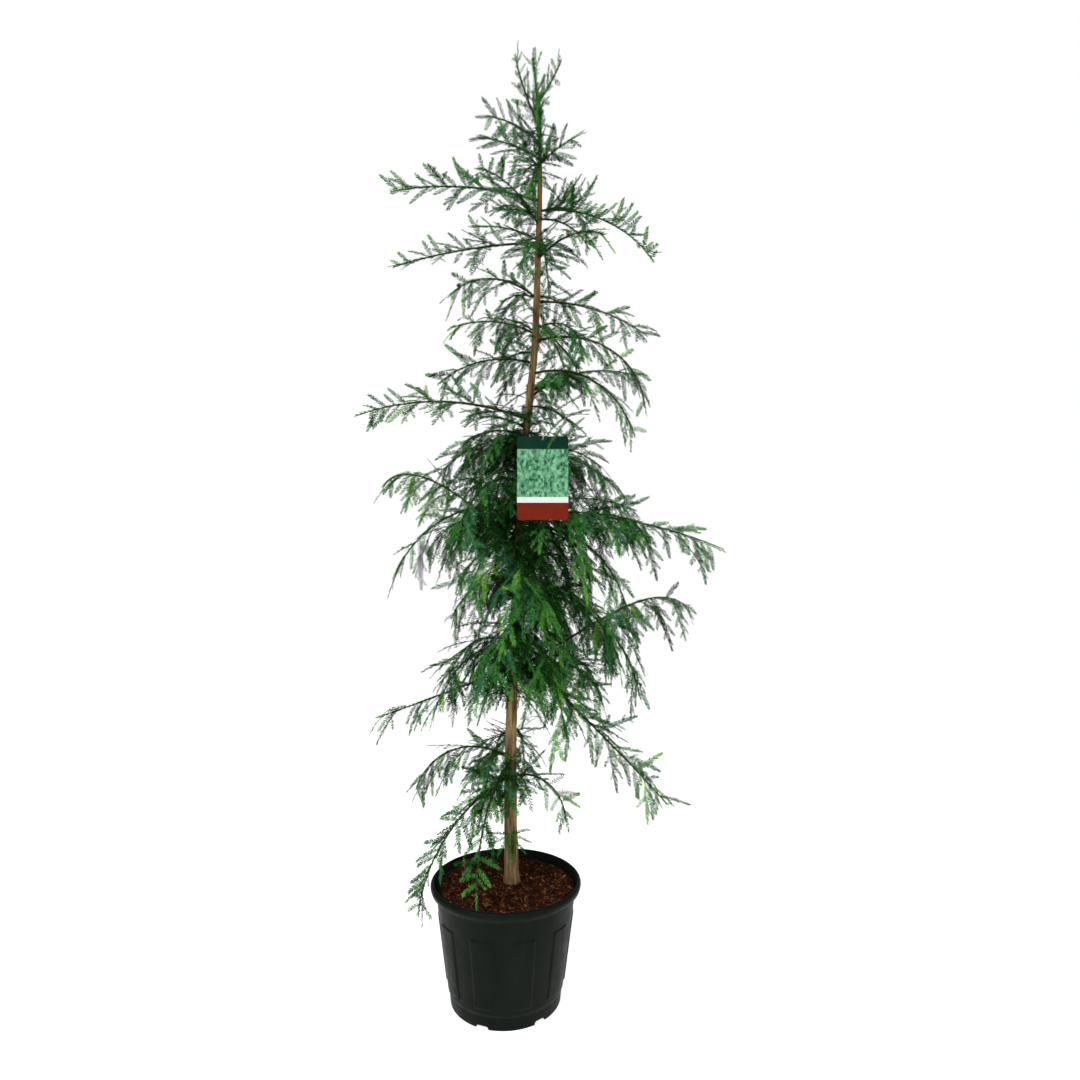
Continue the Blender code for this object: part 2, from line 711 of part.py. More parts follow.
def card_mesh():
    half_width = CARD_WIDTH / 2 - CARD_CORNER
    half_height = CARD_HEIGHT / 2 - CARD_CORNER
    rings = []
    for y in (-CARD_THICK / 2, CARD_THICK / 2):
        ring = []
        for quarter, (sx, sz) in enumerate(((1, 1), (-1, 1), (-1, -1), (1, -1))):
            for i in range(CARD_CORNER_POINTS):
                angle = math.radians(90 * (quarter + i / (CARD_CORNER_POINTS - 1)))
                x = sx * half_width + CARD_CORNER * math.cos(angle)
                z = sz * half_height + CARD_CORNER * math.sin(angle)
                ring.append(Vector(CARD_PLACE) + Vector((x, y, z)))
        rings.append(ring)
    return ring_mesh(rings)


def hole_mesh():
    centre = Vector(CARD_PLACE) + Vector((0, 0, CARD_HEIGHT / 2 - CARD_HOLE_DROP))
    rings = []
    for y in (-HOLE_DEPTH / 2, HOLE_DEPTH / 2):
        ring = []
        for i in range(HOLE_SIDES):
            angle = 2 * math.pi * i / HOLE_SIDES
            ring.append(centre + Vector((CARD_HOLE * math.cos(angle), y, CARD_HOLE * math.sin(angle))))
        rings.append(ring)
    return ring_mesh(rings)


def loop_mesh():
    """A closed strap round the trunk that links through the card's hole."""
    trunk, radius = trunk_at(LOOP_HEIGHT)
    card = Vector(CARD_PLACE) + Vector((0, 0, CARD_HEIGHT / 2 - LOOP_LINK_DROP))
    line = Vector((card.x - trunk.x, card.y - trunk.y, 0)).normalized()
    start = trunk - line * (radius + LOOP_BEHIND)
    end = card + line * LOOP_BEFORE
    sideways = Vector((-line.y, line.x, 0))
    middle = (start + end) / 2
    half = (end - start) / 2
    points = []
    for i in range(LOOP_POINTS):
        angle = 2 * math.pi * i / LOOP_POINTS
        near_card = (1 + math.cos(angle)) / 2
        near_card = near_card * near_card * (3 - 2 * near_card)
        offset = (1 - near_card) * LOOP_HALF_WIDTH * sideways
        offset = offset + near_card * Vector((0, 0, LOOP_HALF_DROP))
        points.append(middle + math.cos(angle) * half + math.sin(angle) * offset)
    rings = []
    for i, point in enumerate(points):
        tangent = (points[(i + 1) % LOOP_POINTS] - points[i - 1]).normalized()
        outward = point - middle
        over = (outward - outward.dot(tangent) * tangent).normalized()
        across = tangent.cross(over)
        ring = []
        for k in range(LOOP_SIDES):
            angle = 2 * math.pi * k / LOOP_SIDES
            ring.append(point + LOOP_TUBE * (math.cos(angle) * over + math.sin(angle) * across))
        rings.append(ring)
    bm = bmesh.new()
    rows = [[bm.verts.new(point) for point in ring] for ring in rings]
    for low, high in zip(rows, rows[1:] + rows[:1]):
        for k in range(LOOP_SIDES):
            n = (k + 1) % LOOP_SIDES
            bm.faces.new((low[k], low[n], high[n], high[k]))
    return bm


# Build

def add_pot_and_trunk(obstacles):
    """The pot, its soil, the trunk and the card on its loop."""
    pot = add_object("pot", pot_mesh(), make_material("pot", POT_COLOUR, 0.45))
    for i in range(NOTCHES):
        notch = add_object("notch", notch_mesh(NOTCH_FIRST + i * 360.0 / NOTCHES), None)
        cut(pot, notch)
        remove_object(notch)
    smooth(pot)
    add_object("soil", soil_mesh(), make_material("soil", SOIL_COLOUR, 0.95))
    smooth(add_object("trunk", trunk_mesh(), make_material("trunk", BARK_COLOUR, 0.85)))
    card = add_object("plant_label", card_mesh(), make_material("plant_label", CARD_COLOUR, 0.35))
    hole = add_object("hole", hole_mesh(), None)
    cut(card, hole)
    remove_object(hole)
    smooth(add_object("label_loop", loop_mesh(), make_material("label_loop", LOOP_COLOUR, 0.4)))

    obstacles.add("pot", pot_mesh())
    obstacles.add("soil", soil_mesh())
    obstacles.add("trunk", trunk_mesh(GAP))
    obstacles.add("plant_label", card_mesh())
    obstacles.add("label_loop", loop_mesh())


def add_limb(limb, path, clearance, obstacles):
    """The bare bough, if the limb has one, and the stem that goes on from it."""
    start = 0.0
    tangent = None
    if limb.bare:
        name = "bough_" + limb.name
        shares = ring_shares(limb, 0.0, limb.bare, BOUGH_RING_STEP)
        bm = limb_tube(limb, path, shares, BOUGH_SIDES)
        obstacles.add(name, bm)
        bough = add_object(name, bm, make_material(name, BOUGH_COLOUR, 0.85))
        cut(bough, clearance)
        keep_main_piece(bough)
        smooth(bough)
        start = limb.bare + STEM_GAP / limb.length
        tangent = path.tangent(limb.bare)
    name = "foliage_" + limb.name
    shares = ring_shares(limb, start, STEM_END, STEM_RING_STEP)
    bm = limb_tube(limb, path, shares, STEM_SIDES, tangent)
    hit = obstacles.hit(bm, skip=("trunk",))
    if hit:
        print("the stem of", limb.name, "touches", hit)
    obstacles.add("stem_" + limb.name, bm)
    stem = add_object(name, bm, make_material(name, LEAF_COLOUR, 0.6))
    if not limb.bare:
        cut(stem, clearance)
        keep_main_piece(stem)
    return stem, shares


def find_room(limb, path, shares, share, side, rng, obstacles):
    """The first try of one spray that touches nothing, or None."""
    outward = (share - limb.first) / (1.0 - limb.first)
    length = limb.reach * (1.0 - OUTWARD_LOSS * outward)
    if side == 0:
        length = max(limb.length * (1.0 - share), MIN_END_SPRAY)
    for attempt in range(SPRAY_TRIES):
        size = length * (1.0 - SHRINK * max(attempt - FULL_SIZE_TRIES, 0))
        shift = 0.0 if attempt == 0 else rng.uniform(-SHIFT_RANGE, SHIFT_RANGE)
        place = min(max(share + shift, limb.first), STEM_END - SHIFT_RANGE)
        if side == 0:
            place = share
        if size < MIN_SPRAY:
            return None
        plan = plan_spray(limb, path, shares, place, side, rng, size)
        fat = spray_mesh(plan, TEST_GROW)
        hit = obstacles.hit(fat, skip=("stem_" + limb.name,))
        fat.free()
        if hit is None:
            return plan
    return None


def add_sprays(number, limb, path, stem, shares, obstacles):
    """One spray at the tip and the others left and right in turn, fused on."""
    rng = random.Random(FIRST_SEED + number)
    slots = [(STEM_END - END_INSET, 0)]
    for i in range(limb.sprays):
        share = blend(limb.first, STEM_END - SIDE_INSET, i / (limb.sprays - 1))
        slots.append((share, 1 if (i + number) % 2 else -1))
    sprays = []
    for share, side in slots:
        plan = find_room(limb, path, shares, share, side, rng, obstacles)
        if plan:
            bm = spray_mesh(plan)
            obstacles.add("spray_" + limb.name, bm)
            sprays.append(add_object("spray", bm, None))
    join_sprays(stem, sprays)
    if len(sprays) < len(slots):
        print(limb.name, "has room for", len(sprays), "of", len(slots), "sprays")


def build():
    for obj in list(bpy.data.objects):
        bpy.data.objects.remove(obj)

    obstacles = Obstacles()
    add_pot_and_trunk(obstacles)

    # Limbs first, so that every spray keeps clear of every limb.
    clearance = add_object("trunk_clearance", trunk_mesh(GAP), None)
    grown = []
    for limb in LIMBS:
        path = Path(limb)
        stem, shares = add_limb(limb, path, clearance, obstacles)
        grown.append((limb, path, stem, shares))
    remove_object(clearance)

    # Then the sprays of each limb, by one seeded rule.
    for number, (limb, path, stem, shares) in enumerate(grown):
        add_sprays(number, limb, path, stem, shares, obstacles)


build()
count = sum(len(face.vertices) - 2 for obj in bpy.data.objects for face in obj.data.polygons)
print("objects", len(bpy.data.objects), "triangles", count)
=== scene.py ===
# %% [markdown]
# # A young coast redwood in a round nursery pot
# The solids of the tree are loaded first, and every piece made here sits on them.
# The solid crown is a coarse one: flat toothed blades on stems. Here the same
# limbs carry real twigs and needles, the trunk gets its bark, and the pot, the
# mulch and the hanging card get the detail that a close look asks for.

import math
import random
from collections import namedtuple

import bmesh
import bpy
import numpy as np
from mathutils import Matrix, Vector, noise


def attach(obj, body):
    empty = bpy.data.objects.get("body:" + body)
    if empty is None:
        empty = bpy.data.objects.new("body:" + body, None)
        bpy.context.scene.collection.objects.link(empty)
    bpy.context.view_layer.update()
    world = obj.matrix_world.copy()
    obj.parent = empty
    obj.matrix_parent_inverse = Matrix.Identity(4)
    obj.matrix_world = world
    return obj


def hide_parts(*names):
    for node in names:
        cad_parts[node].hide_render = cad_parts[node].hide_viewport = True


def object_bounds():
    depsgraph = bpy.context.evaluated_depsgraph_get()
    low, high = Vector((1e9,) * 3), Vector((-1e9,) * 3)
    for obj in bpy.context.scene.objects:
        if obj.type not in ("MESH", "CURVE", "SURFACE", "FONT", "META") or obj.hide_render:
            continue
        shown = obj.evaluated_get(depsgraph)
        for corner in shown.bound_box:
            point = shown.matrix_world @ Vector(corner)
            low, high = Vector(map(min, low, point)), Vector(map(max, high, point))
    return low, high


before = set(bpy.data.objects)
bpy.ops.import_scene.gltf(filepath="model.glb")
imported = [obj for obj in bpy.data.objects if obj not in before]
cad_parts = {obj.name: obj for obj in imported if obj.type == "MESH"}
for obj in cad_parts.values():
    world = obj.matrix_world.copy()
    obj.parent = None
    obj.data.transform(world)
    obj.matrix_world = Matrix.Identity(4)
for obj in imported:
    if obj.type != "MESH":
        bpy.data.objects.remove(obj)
cad_low, cad_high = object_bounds()
print("solids:", len(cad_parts), "height", round(cad_high.z, 3))

# %% [markdown]
# ## The trunk and the table of limbs
# The trunk is a list of stations, each with its height, its sideways place and
# its radius. A limb is one row: where it leaves the trunk, which way it points,
# how long it is, and its slope at the root and at the tip. A table is the best
# way to draw a tree from a photograph, because every limb can be moved without
# touching its neighbours. The values are the ones the solids were made from.

# %% Trunk stations
TRUNK_STATIONS = np.array((
    (0.298, 0.016, 0.0225),
    (0.330, 0.014, 0.0190),
    (0.450, 0.012, 0.0172),
    (0.620, 0.011, 0.0158),
    (0.800, 0.014, 0.0148),
    (1.120, 0.029, 0.0128),
    (1.440, 0.041, 0.0112),
    (1.620, 0.062, 0.0105),
    (1.800, 0.079, 0.0098),
    (2.050, 0.087, 0.0086),
    (2.280, 0.093, 0.0066),
    (2.420, 0.093, 0.0048),
    (2.530, 0.086, 0.0034),
    (2.655, 0.072, 0.0018),
))
GROUND = 0.298
TRUNK_TOP = 2.655


def trunk_x(z):
    """Sideways place of the trunk's centre at these heights."""
    return np.interp(z, TRUNK_STATIONS[:, 0], TRUNK_STATIONS[:, 1])


def trunk_radius(z):
    """Radius of the trunk at these heights."""
    return np.interp(z, TRUNK_STATIONS[:, 0], TRUNK_STATIONS[:, 2])


print("trunk radius at the foot", trunk_radius(GROUND), "and at 1.5 m", round(float(trunk_radius(1.5)), 4))

# %% Limbs
Limb = namedtuple(
    "Limb", "name height azimuth length rise fall late bare first roll hang sprays reach"
)

LIMBS = (
    Limb("left_leader", 2.455, 186, 0.22, 62, 80, 1, 0, 0.12, 15, -0.1, 4, 0.085),
    Limb("right_leader", 2.520, 5, 0.150, 58, 68, 1, 0, 0.12, -15, -0.1, 4, 0.065),
    Limb("left_shoot", 2.400, 178, 0.180, 48, 10, 1, 0, 0.12, 20, 0.2, 4, 0.098),
    Limb("left_top", 2.35, 205, 0.190, 18, -10, 1, 0, 0.12, -10, 0.3, 5, 0.116),
    Limb("right_top", 2.335, 345, 0.12, 44, 20, 1, 0, 0.12, 10, 0.2, 4, 0.104),
    Limb("back_top", 2.320, 95, 0.23, 35, -12, 1, 0, 0.12, 0, 0.3, 5, 0.116),
    Limb("left_high_long", 2.225, 186, 0.430, 15, -14, 1, 0.22, 0.27, 6, 0.1, 6, 0.12),
    Limb("left_upper_long", 2.100, 172, 0.440, 3, -14, 1, 0.22, 0.27, -8, 0.1, 6, 0.125),
    Limb("front_high_left", 2.150, 235, 0.28, 35, -20, 1, 0, 0.12, 10, 0.3, 5, 0.116),
    Limb("right_high_long", 2.195, 1, 0.385, 10, -58, 1, 0, 0.12, 22, -1.1, 6, 0.135),
    Limb("front_high_right", 2.050, 315, 0.260, 28, -35, 1, 0, 0.12, -12, 0.9, 5, 0.122),
    Limb("back_high", 2.130, 84, 0.36, 20, -30, 1, 0, 0.12, 5, 0.4, 6, 0.140),
    Limb("left_high_arch", 1.935, 206, 0.290, 34, -52, 1, 0, 0.1, 8, 0.9, 5, 0.145),
    Limb("left_mid", 1.830, 162, 0.275, 34, -12, 1, 0, 0.1, -8, 1.6, 5, 0.145),
    Limb("left_mid_arch", 1.745, 190, 0.290, 14, -45, 1, 0, 0.1, 14, 1.3, 5, 0.158),
    Limb("right_high_arch", 1.925, 8, 0.345, 6, -34, 1, 0.16, 0.22, -14, 0.8, 6, 0.139),
    Limb("right_mid_arch", 1.810, 352, 0.420, 14, -85, 1.1, 0.18, 0.24, 10, 1.2, 6, 0.139),
    Limb("right_mid", 1.715, 325, 0.420, 4, -72, 1, 0, 0.1, -10, 1.3, 6, 0.158),
    Limb("back_mid", 1.860, 72, 0.40, 18, -48, 1, 0, 0.1, 5, 1.1, 6, 0.165),
    Limb("left_mid_long", 1.582, 182, 0.497, 22, -20, 1, 0.26, 0.32, 10, 0.5, 6, 0.140),
    Limb("left_belt_high", 1.530, 155, 0.310, 10, -42, 1, 0, 0.1, 6, 2.0, 5, 0.227),
    Limb("right_mid_rise", 1.645, 12, 0.350, 42, -14, 1, 0, 0.1, -12, 1.1, 5, 0.139),
    Limb("front_belt_top", 1.620, 305, 0.230, -10, -38, 1, 0, 0.1, 8, 1.0, 4, 0.139),
    Limb("right_belt_high", 1.480, 25, 0.320, 14, -42, 1, 0, 0.1, -6, 2.0, 5, 0.227),
    Limb("back_belt_high", 1.540, 98, 0.41, 10, -50, 1, 0, 0.1, 4, 2.0, 5, 0.227),
    Limb("left_rising", 1.24, 176, 0.460, 36, -60, 5, 0.45, 0.5, 12, 1.6, 5, 0.172),
    Limb("left_droop", 1.330, 205, 0.43, 10, -66, 1, 0, 0.1, -10, 2.4, 7, 0.205),
    Limb("right_long", 1.300, 347, 0.570, 6, -26, 1, 0.18, 0.23, 14, 1.9, 6, 0.220),
    Limb("right_droop", 1.270, 332, 0.460, 8, -84, 1, 0, 0.1, 10, 2.1, 6, 0.235),
    Limb("front_belt_left", 1.400, 243, 0.39, 10, -66, 1, 0, 0.1, 8, 2.0, 5, 0.220),
    Limb("front_belt", 1.190, 274, 0.43, 8, -68, 1, 0, 0.1, 6, 2.1, 6, 0.235),
    Limb("back_belt_left", 1.350, 130, 0.46, 12, -60, 1, 0, 0.1, -6, 2.1, 6, 0.243),
    Limb("back_belt_right", 1.220, 64, 0.51, 12, -65, 1, 0, 0.1, 6, 2.1, 6, 0.243),
    Limb("left_low_long", 0.885, 181, 0.400, -22, -19, 1, 0, 0.1, 14, 1.8, 5, 0.165),
    Limb("left_low_droop", 0.943, 212, 0.290, 10, -74, 1, 0, 0.1, -8, 2.1, 5, 0.198),
    Limb("right_arch", 0.870, 6, 0.590, 30, -80, 6, 0.38, 0.44, 12, 2.4, 5, 0.215),
    Limb("right_curtain", 1.090, 18, 0.530, 2, -80, 1, 0, 0.1, -10, 2.4, 6, 0.243),
    Limb("right_low_long", 0.925, 336, 0.560, -36, -44, 1, 0.22, 0.27, 14, 0.9, 6, 0.17),
    Limb("front_low", 0.985, 296, 0.41, 2, -78, 1, 0, 0.1, 6, 2.2, 5, 0.220),
    Limb("back_low", 0.965, 99, 0.50, 5, -65, 1, 0, 0.1, 5, 2.1, 6, 0.243),
    Limb("left_belt_low", 1.16, 174, 0.25, -8, -66, 1, 0, 0.1, -8, 2.2, 5, 0.205),
    Limb("left_pot_upper", 0.63, 172, 0.330, 34, -72, 1, 0, 0.1, 8, 1.9, 6, 0.175),
    Limb("left_pot", 0.585, 200, 0.440, -22, -84, 1, 0, 0.1, -8, 0.8, 6, 0.130),
    Limb("front_pot", 0.620, 247, 0.400, -5, -95, 0.7, 0, 0.1, 8, 0.7, 5, 0.117),
    Limb("right_pot", 0.575, 330, 0.235, 36, -88, 1, 0, 0.14, 10, 0.4, 5, 0.104),
    Limb("back_pot", 0.680, 84, 0.39, 15, -75, 1, 0, 0.1, 6, 1.1, 6, 0.163),
)
print("limbs:", len(LIMBS), "with a bare bough:", sum(1 for limb in LIMBS if limb.bare))

# %% [markdown]
# ## Curves of the limbs
# A limb's slope turns from its rise to its fall along the way, so that a few
# numbers give a spring, an arch or a droop. Walking the slope in small steps
# and adding them up gives the curve, with a length that is always exact.

# %% Limb curves
LIMB_STEPS = 24
STEM_END = 0.90
TIP_RADIUS = 0.0011
LIMB_ROOT = 0.0022
LIMB_GAIN = 0.0046
LIMB_TAPER = 0.75
TINY = 1e-12


class Path:
    """The middle line of one limb, from the trunk's axis to its tip."""

    def __init__(self, limb):
        """Walk the slope in equal steps, out from the trunk's axis."""
        azimuth = math.radians(limb.azimuth)
        out = np.array((math.cos(azimuth), math.sin(azimuth), 0.0))
        self.side = np.array((-math.sin(azimuth), math.cos(azimuth), 0.0))
        share = (np.arange(LIMB_STEPS) + 0.5) / LIMB_STEPS
        slope = np.radians(limb.rise + (limb.fall - limb.rise) * share ** limb.late)
        self.tangents = np.cos(slope)[:, None] * out
        self.tangents[:, 2] = np.sin(slope)
        root = np.array((trunk_x(limb.height), 0.0, limb.height))
        walked = np.cumsum(self.tangents, axis=0) * limb.length / LIMB_STEPS
        self.points = np.vstack((root, root + walked))

    def point(self, share):
        """Point at a share of the limb's length."""
        place = np.clip(share, 0, 0.99999) * LIMB_STEPS
        low = np.asarray(place).astype(int)
        part = (place - low)[..., None]
        return self.points[low] * (1 - part) + self.points[low + 1] * part

    def tangent(self, share):
        """Direction at a share of the limb's length."""
        place = np.clip(np.asarray(share) * LIMB_STEPS - 0.5, 0, LIMB_STEPS - 1.001)
        low = place.astype(int)
        part = (place - low)[..., None]
        return unit(self.tangents[low] * (1 - part) + self.tangents[low + 1] * part)


def unit(vectors):
    """The same directions, each with a length of one."""
    return vectors / np.maximum(np.linalg.norm(vectors, axis=-1, keepdims=True), TINY)


def square_to(headings, vectors):
    """The vectors turned square to their headings, each with a length of one."""
    return unit(vectors - (vectors * headings).sum(-1, keepdims=True) * headings)


def turned_about(axis, flat, angle):
    """A direction that is square to the axis, turned about it by an angle."""
    over = unit(np.cross(axis, flat))
    return np.cos(angle)[:, None] * flat + np.sin(angle)[:, None] * over


def lean(heading, across, angle, side):
    """The heading, leaned over by an angle to one side or the other."""
    return np.cos(angle)[:, None] * heading + (side * np.sin(angle))[:, None] * across


def left_and_right(number):
    """One and minus one in turn."""
    return np.where(number % 2 == 0, 1.0, -1.0)


def limb_radius(limb, share):
    """Radius of a limb at a share of its length, thicker on a longer limb."""
    base = LIMB_ROOT + LIMB_GAIN * limb.length
    return base + (TIP_RADIUS - base) * np.asarray(share) ** LIMB_TAPER


PATHS = [Path(limb) for limb in LIMBS]
print("longest limb", max(limb.length for limb in LIMBS))

# %% [markdown]
# ### Lesser limbs beside the main ones
# In the thick belt of the crown every main limb has lesser ones beside it, that
# leave the trunk close by, point a little to one side and stay inside its reach.
# They are rows of the same kind, changed by seeded amounts. Where the photo's crown
# is thicker or thinner than its neighbourhood, a limb gets more or fewer of them.

# %% Companions
BELT_REACH = 0.195
COMPANIONS_BELT = 2
COMPANIONS_OPEN = 1
MORE_COMPANIONS = {
    "right_belt_high": 3, "back_belt_high": 1, "right_long": 2, "right_mid_rise": 1, "right_curtain": 1,
    "left_droop": -1, "left_belt_low": -1, "left_low_long": -1, "left_low_droop": -1, "back_mid": -1,
    "right_mid": -1, "left_pot": 1, "right_high_long": 1, "left_mid_long": 1,
}


def companions(number, limb):
    """Lesser limbs that fill the space beside one limb."""
    rng = np.random.default_rng(300 + number)
    rows = []
    thick = limb.reach > BELT_REACH
    count = (COMPANIONS_BELT if thick else COMPANIONS_OPEN) + MORE_COMPANIONS.get(limb.name, 0)
    for k in range(count):
        side = 1 if (k + number) % 2 else -1
        rows.append(limb._replace(
            height=limb.height + rng.uniform(-0.045, 0.035),
            azimuth=limb.azimuth + side * rng.uniform(18, 38),
            length=limb.length * (rng.uniform(0.50, 0.76) if thick else rng.uniform(0.28, 0.48)),
            rise=limb.rise + rng.uniform(-4, 18),
            fall=limb.fall + rng.uniform(-8, 16),
            late=min(limb.late, 1.5),
            bare=0,
            first=0.10,
            roll=limb.roll + rng.uniform(-12, 12),
            reach=limb.reach * (0.80 if thick else 0.75),
        ))
    return rows


lesser = [len(companions(number, limb)) for number, limb in enumerate(LIMBS)]
print("lesser limbs:", sum(lesser), "and most beside one limb:", max(lesser))

# %% [markdown]
# ## Turning arrays into meshes
# The crown has more than two hundred thousand needles. Making them one by one with
# mesh operators would take many minutes, so they are worked out as arrays of
# points and handed to Blender in one go. Twigs are arrays as well: many lines with
# the same number of rings become one mesh of thin tubes. Pieces with few faces,
# such as the pot and the card, are built in a bmesh instead, which is easier to read.

# %% Mesh helpers
def stand(name, data):
    """An object in the scene that holds this mesh, curve, light or camera."""
    piece = bpy.data.objects.new(name, data)
    bpy.context.scene.collection.objects.link(piece)
    return piece


def from_bmesh(name, bm):
    """An object with the mesh that a bmesh holds, and the bmesh is freed."""
    mesh = bpy.data.meshes.new(name)
    bm.to_mesh(mesh)
    bm.free()
    return stand(name, mesh)


def mesh_piece(name, points, faces, materials, slots=None, smooth=True):
    """One object from an array of points and an array of equal-sized faces."""
    corners = faces.shape[1]
    mesh = bpy.data.meshes.new(name)
    mesh.vertices.add(len(points))
    mesh.vertices.foreach_set("co", np.ascontiguousarray(points, np.float32).ravel())
    mesh.loops.add(faces.size)
    mesh.loops.foreach_set("vertex_index", np.ascontiguousarray(faces, np.int32).ravel())
    mesh.polygons.add(len(faces))
    mesh.polygons.foreach_set("loop_start", np.arange(0, faces.size, corners, dtype=np.int32))
    mesh.polygons.foreach_set("use_smooth", np.full(len(faces), smooth))
    if slots is not None:
        mesh.polygons.foreach_set("material_index", np.ascontiguousarray(slots, np.int32))
    for material in materials:
        mesh.materials.append(material)
    mesh.update(calc_edges=True)
    mesh.validate()
    return stand(name, mesh)


def ring_skin(rings, sides):
    """Triangles between rings of points that follow one another."""
    ring = np.arange(sides)
    after = (ring + 1) % sides
    low = np.arange(rings - 1)[:, None] * sides
    quads = np.stack((low + ring, low + after, low + sides + after, low + sides + ring), axis=-1)
    quads = quads.reshape(-1, 4)
    return np.vstack((quads[:, (0, 1, 2)], quads[:, (0, 2, 3)]))


def tubes(lines, radii, across, sides):
    """Points and triangles of many tubes at once, closed at both ends."""
    count, rings, _ = lines.shape
    headings = unit(np.gradient(lines, axis=1))
    wide = square_to(headings, across[:, None, :])
    deep = np.cross(headings, wide)
    turn = 2 * np.pi * (np.arange(sides) + 0.25) / sides
    spoke = np.cos(turn)[:, None] * wide[:, :, None, :] + np.sin(turn)[:, None] * deep[:, :, None, :]
    points = lines[:, :, None, :] + radii[:, :, None, None] * spoke
    fan = np.array([(0, i + 1, i) for i in range(1, sides - 1)])
    skin = np.vstack((ring_skin(rings, sides), fan, fan[:, ::-1] + (rings - 1) * sides))
    faces = skin[None] + (np.arange(count) * rings * sides)[:, None, None]
    return points.reshape(-1, 3), faces.reshape(-1, 3), len(skin)


def finish_piece(piece, nodes=()):
    """Ride on the one body, and stand for the solids given."""
    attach(piece, "root")
    if nodes:
        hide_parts(*nodes)
    print(piece.name, len(piece.data.polygons), "faces")
    return piece


print("triangles in the wall of a six-sided tube with three rings:", len(ring_skin(3, 6)))

# %% [markdown]
# ## Shader groups that the finishes share
# Bark, leaves, plastic and mulch are all uneven in the same way: two close
# colours drift into each other, in patches of one size, drawn out along the
# grain. So there is one group for drift, with its two colours, its scale and
# its stretch as named inputs. A second group gives the fine height that a Bump
# node needs. Both read the object's own coordinates, which never slide.

# %% Drift and relief groups
def set_inputs(node, values):
    """Give inputs of the node their values by name, and hand the node back."""
    for label, value in values.items():
        node.inputs[label].default_value = value
    return node


def wire(tree, *pairs):
    """Join each output to the input that stands beside it."""
    for output, socket in pairs:
        tree.links.new(output, socket)


def add_group(name, inputs, outputs):
    """A new shader group with named inputs and outputs."""
    group = bpy.data.node_groups.new(name, "ShaderNodeTree")
    for label, kind, value in inputs:
        socket = group.interface.new_socket(label, in_out="INPUT", socket_type=kind)
        socket.default_value = value
    for label, kind in outputs:
        group.interface.new_socket(label, in_out="OUTPUT", socket_type=kind)
    return group, group.nodes.new("NodeGroupInput"), group.nodes.new("NodeGroupOutput")


def stretched_noise(group, source, values):
    """Noise in object coordinates, drawn out by the group's Stretch input."""
    place = group.nodes.new("ShaderNodeTexCoord")
    stretch = group.nodes.new("ShaderNodeVectorMath")
    stretch.operation = "MULTIPLY"
    cloud = set_inputs(group.nodes.new("ShaderNodeTexNoise"), values)
    wire(
        group,
        (place.outputs["Object"], stretch.inputs[0]),
        (source.outputs["Stretch"], stretch.inputs[1]),
        (stretch.outputs[0], cloud.inputs["Vector"]),
        (source.outputs["Scale"], cloud.inputs["Scale"]),
    )
    return cloud.outputs["Fac"]


drift, source, sink = add_group(
    "colour_drift",
    (
        ("First", "NodeSocketColor", (0, 0, 0, 1)),
        ("Second", "NodeSocketColor", (1, 1, 1, 1)),
        ("Scale", "NodeSocketFloat", 10.0),
        ("Edge", "NodeSocketFloat", 0.15),
        ("Stretch", "NodeSocketVector", (1, 1, 1)),
    ),
    (("Colour", "NodeSocketColor"), ("Mask", "NodeSocketFloat")),
)
spread = drift.nodes.new("ShaderNodeMapRange")
for operation, end in (("SUBTRACT", "From Min"), ("ADD", "From Max")):
    limit = drift.nodes.new("ShaderNodeMath")
    limit.operation = operation
    limit.inputs[0].default_value = 0.5
    wire(drift, (source.outputs["Edge"], limit.inputs[1]), (limit.outputs[0], spread.inputs[end]))
mixer = drift.nodes.new("ShaderNodeMix")
mixer.data_type = "RGBA"
wire(
    drift,
    (stretched_noise(drift, source, {"Detail": 4.0, "Roughness": 0.6}), spread.inputs["Value"]),
    (spread.outputs[0], mixer.inputs["Factor"]),
    (source.outputs["First"], mixer.inputs["A"]),
    (source.outputs["Second"], mixer.inputs["B"]),
    (mixer.outputs["Result"], sink.inputs["Colour"]),
    (spread.outputs[0], sink.inputs["Mask"]),
)

relief, source, sink = add_group(
    "fine_relief",
    (
        ("Scale", "NodeSocketFloat", 200.0),
        ("Stretch", "NodeSocketVector", (1, 1, 1)),
    ),
    (("Height", "NodeSocketFloat"),),
)
wire(relief, (stretched_noise(relief, source, {"Detail": 3.0}), sink.inputs["Height"]))
print("shader groups:", drift.name, "and", relief.name)

# %% [markdown]
# ## A finish from those groups
# Nearly every finish here is the same small chain: drift feeds the colour, a
# second drift can be laid over it, and relief feeds a Bump node. A helper
# builds that chain, and keeps the values that stay the same all over the
# surface on the shader's own sockets.

# %% Finish helper
def place_group(tree, group, values):
    """One of the shared groups in a finish, with that finish's own values."""
    node = tree.nodes.new("ShaderNodeGroup")
    node.node_tree = group
    return set_inputs(node, values)


def finish(name, first, second, scale, roughness, stretch=(1, 1, 1), edge=0.15,
           bump=0.0, bump_scale=200.0, specular=0.5):
    """A material of two close colours, with a fine relief where a bump is given."""
    material = bpy.data.materials.new(name)
    material.use_nodes = True
    tree = material.node_tree
    shader = tree.nodes["Principled BSDF"]
    set_inputs(shader, {"Roughness": roughness, "Specular IOR Level": specular})
    colour = place_group(tree, drift, {
        "First": (*first, 1.0),
        "Second": (*second, 1.0),
        "Scale": scale,
        "Edge": edge,
        "Stretch": stretch,
    })
    wire(tree, (colour.outputs["Colour"], shader.inputs["Base Color"]))
    if bump:
        height = place_group(tree, relief, {"Scale": bump_scale, "Stretch": stretch})
        bumper = set_inputs(tree.nodes.new("ShaderNodeBump"), {"Strength": 1.0, "Distance": bump})
        wire(
            tree,
            (height.outputs["Height"], bumper.inputs["Height"]),
            (bumper.outputs["Normal"], shader.inputs["Normal"]),
        )
    return material


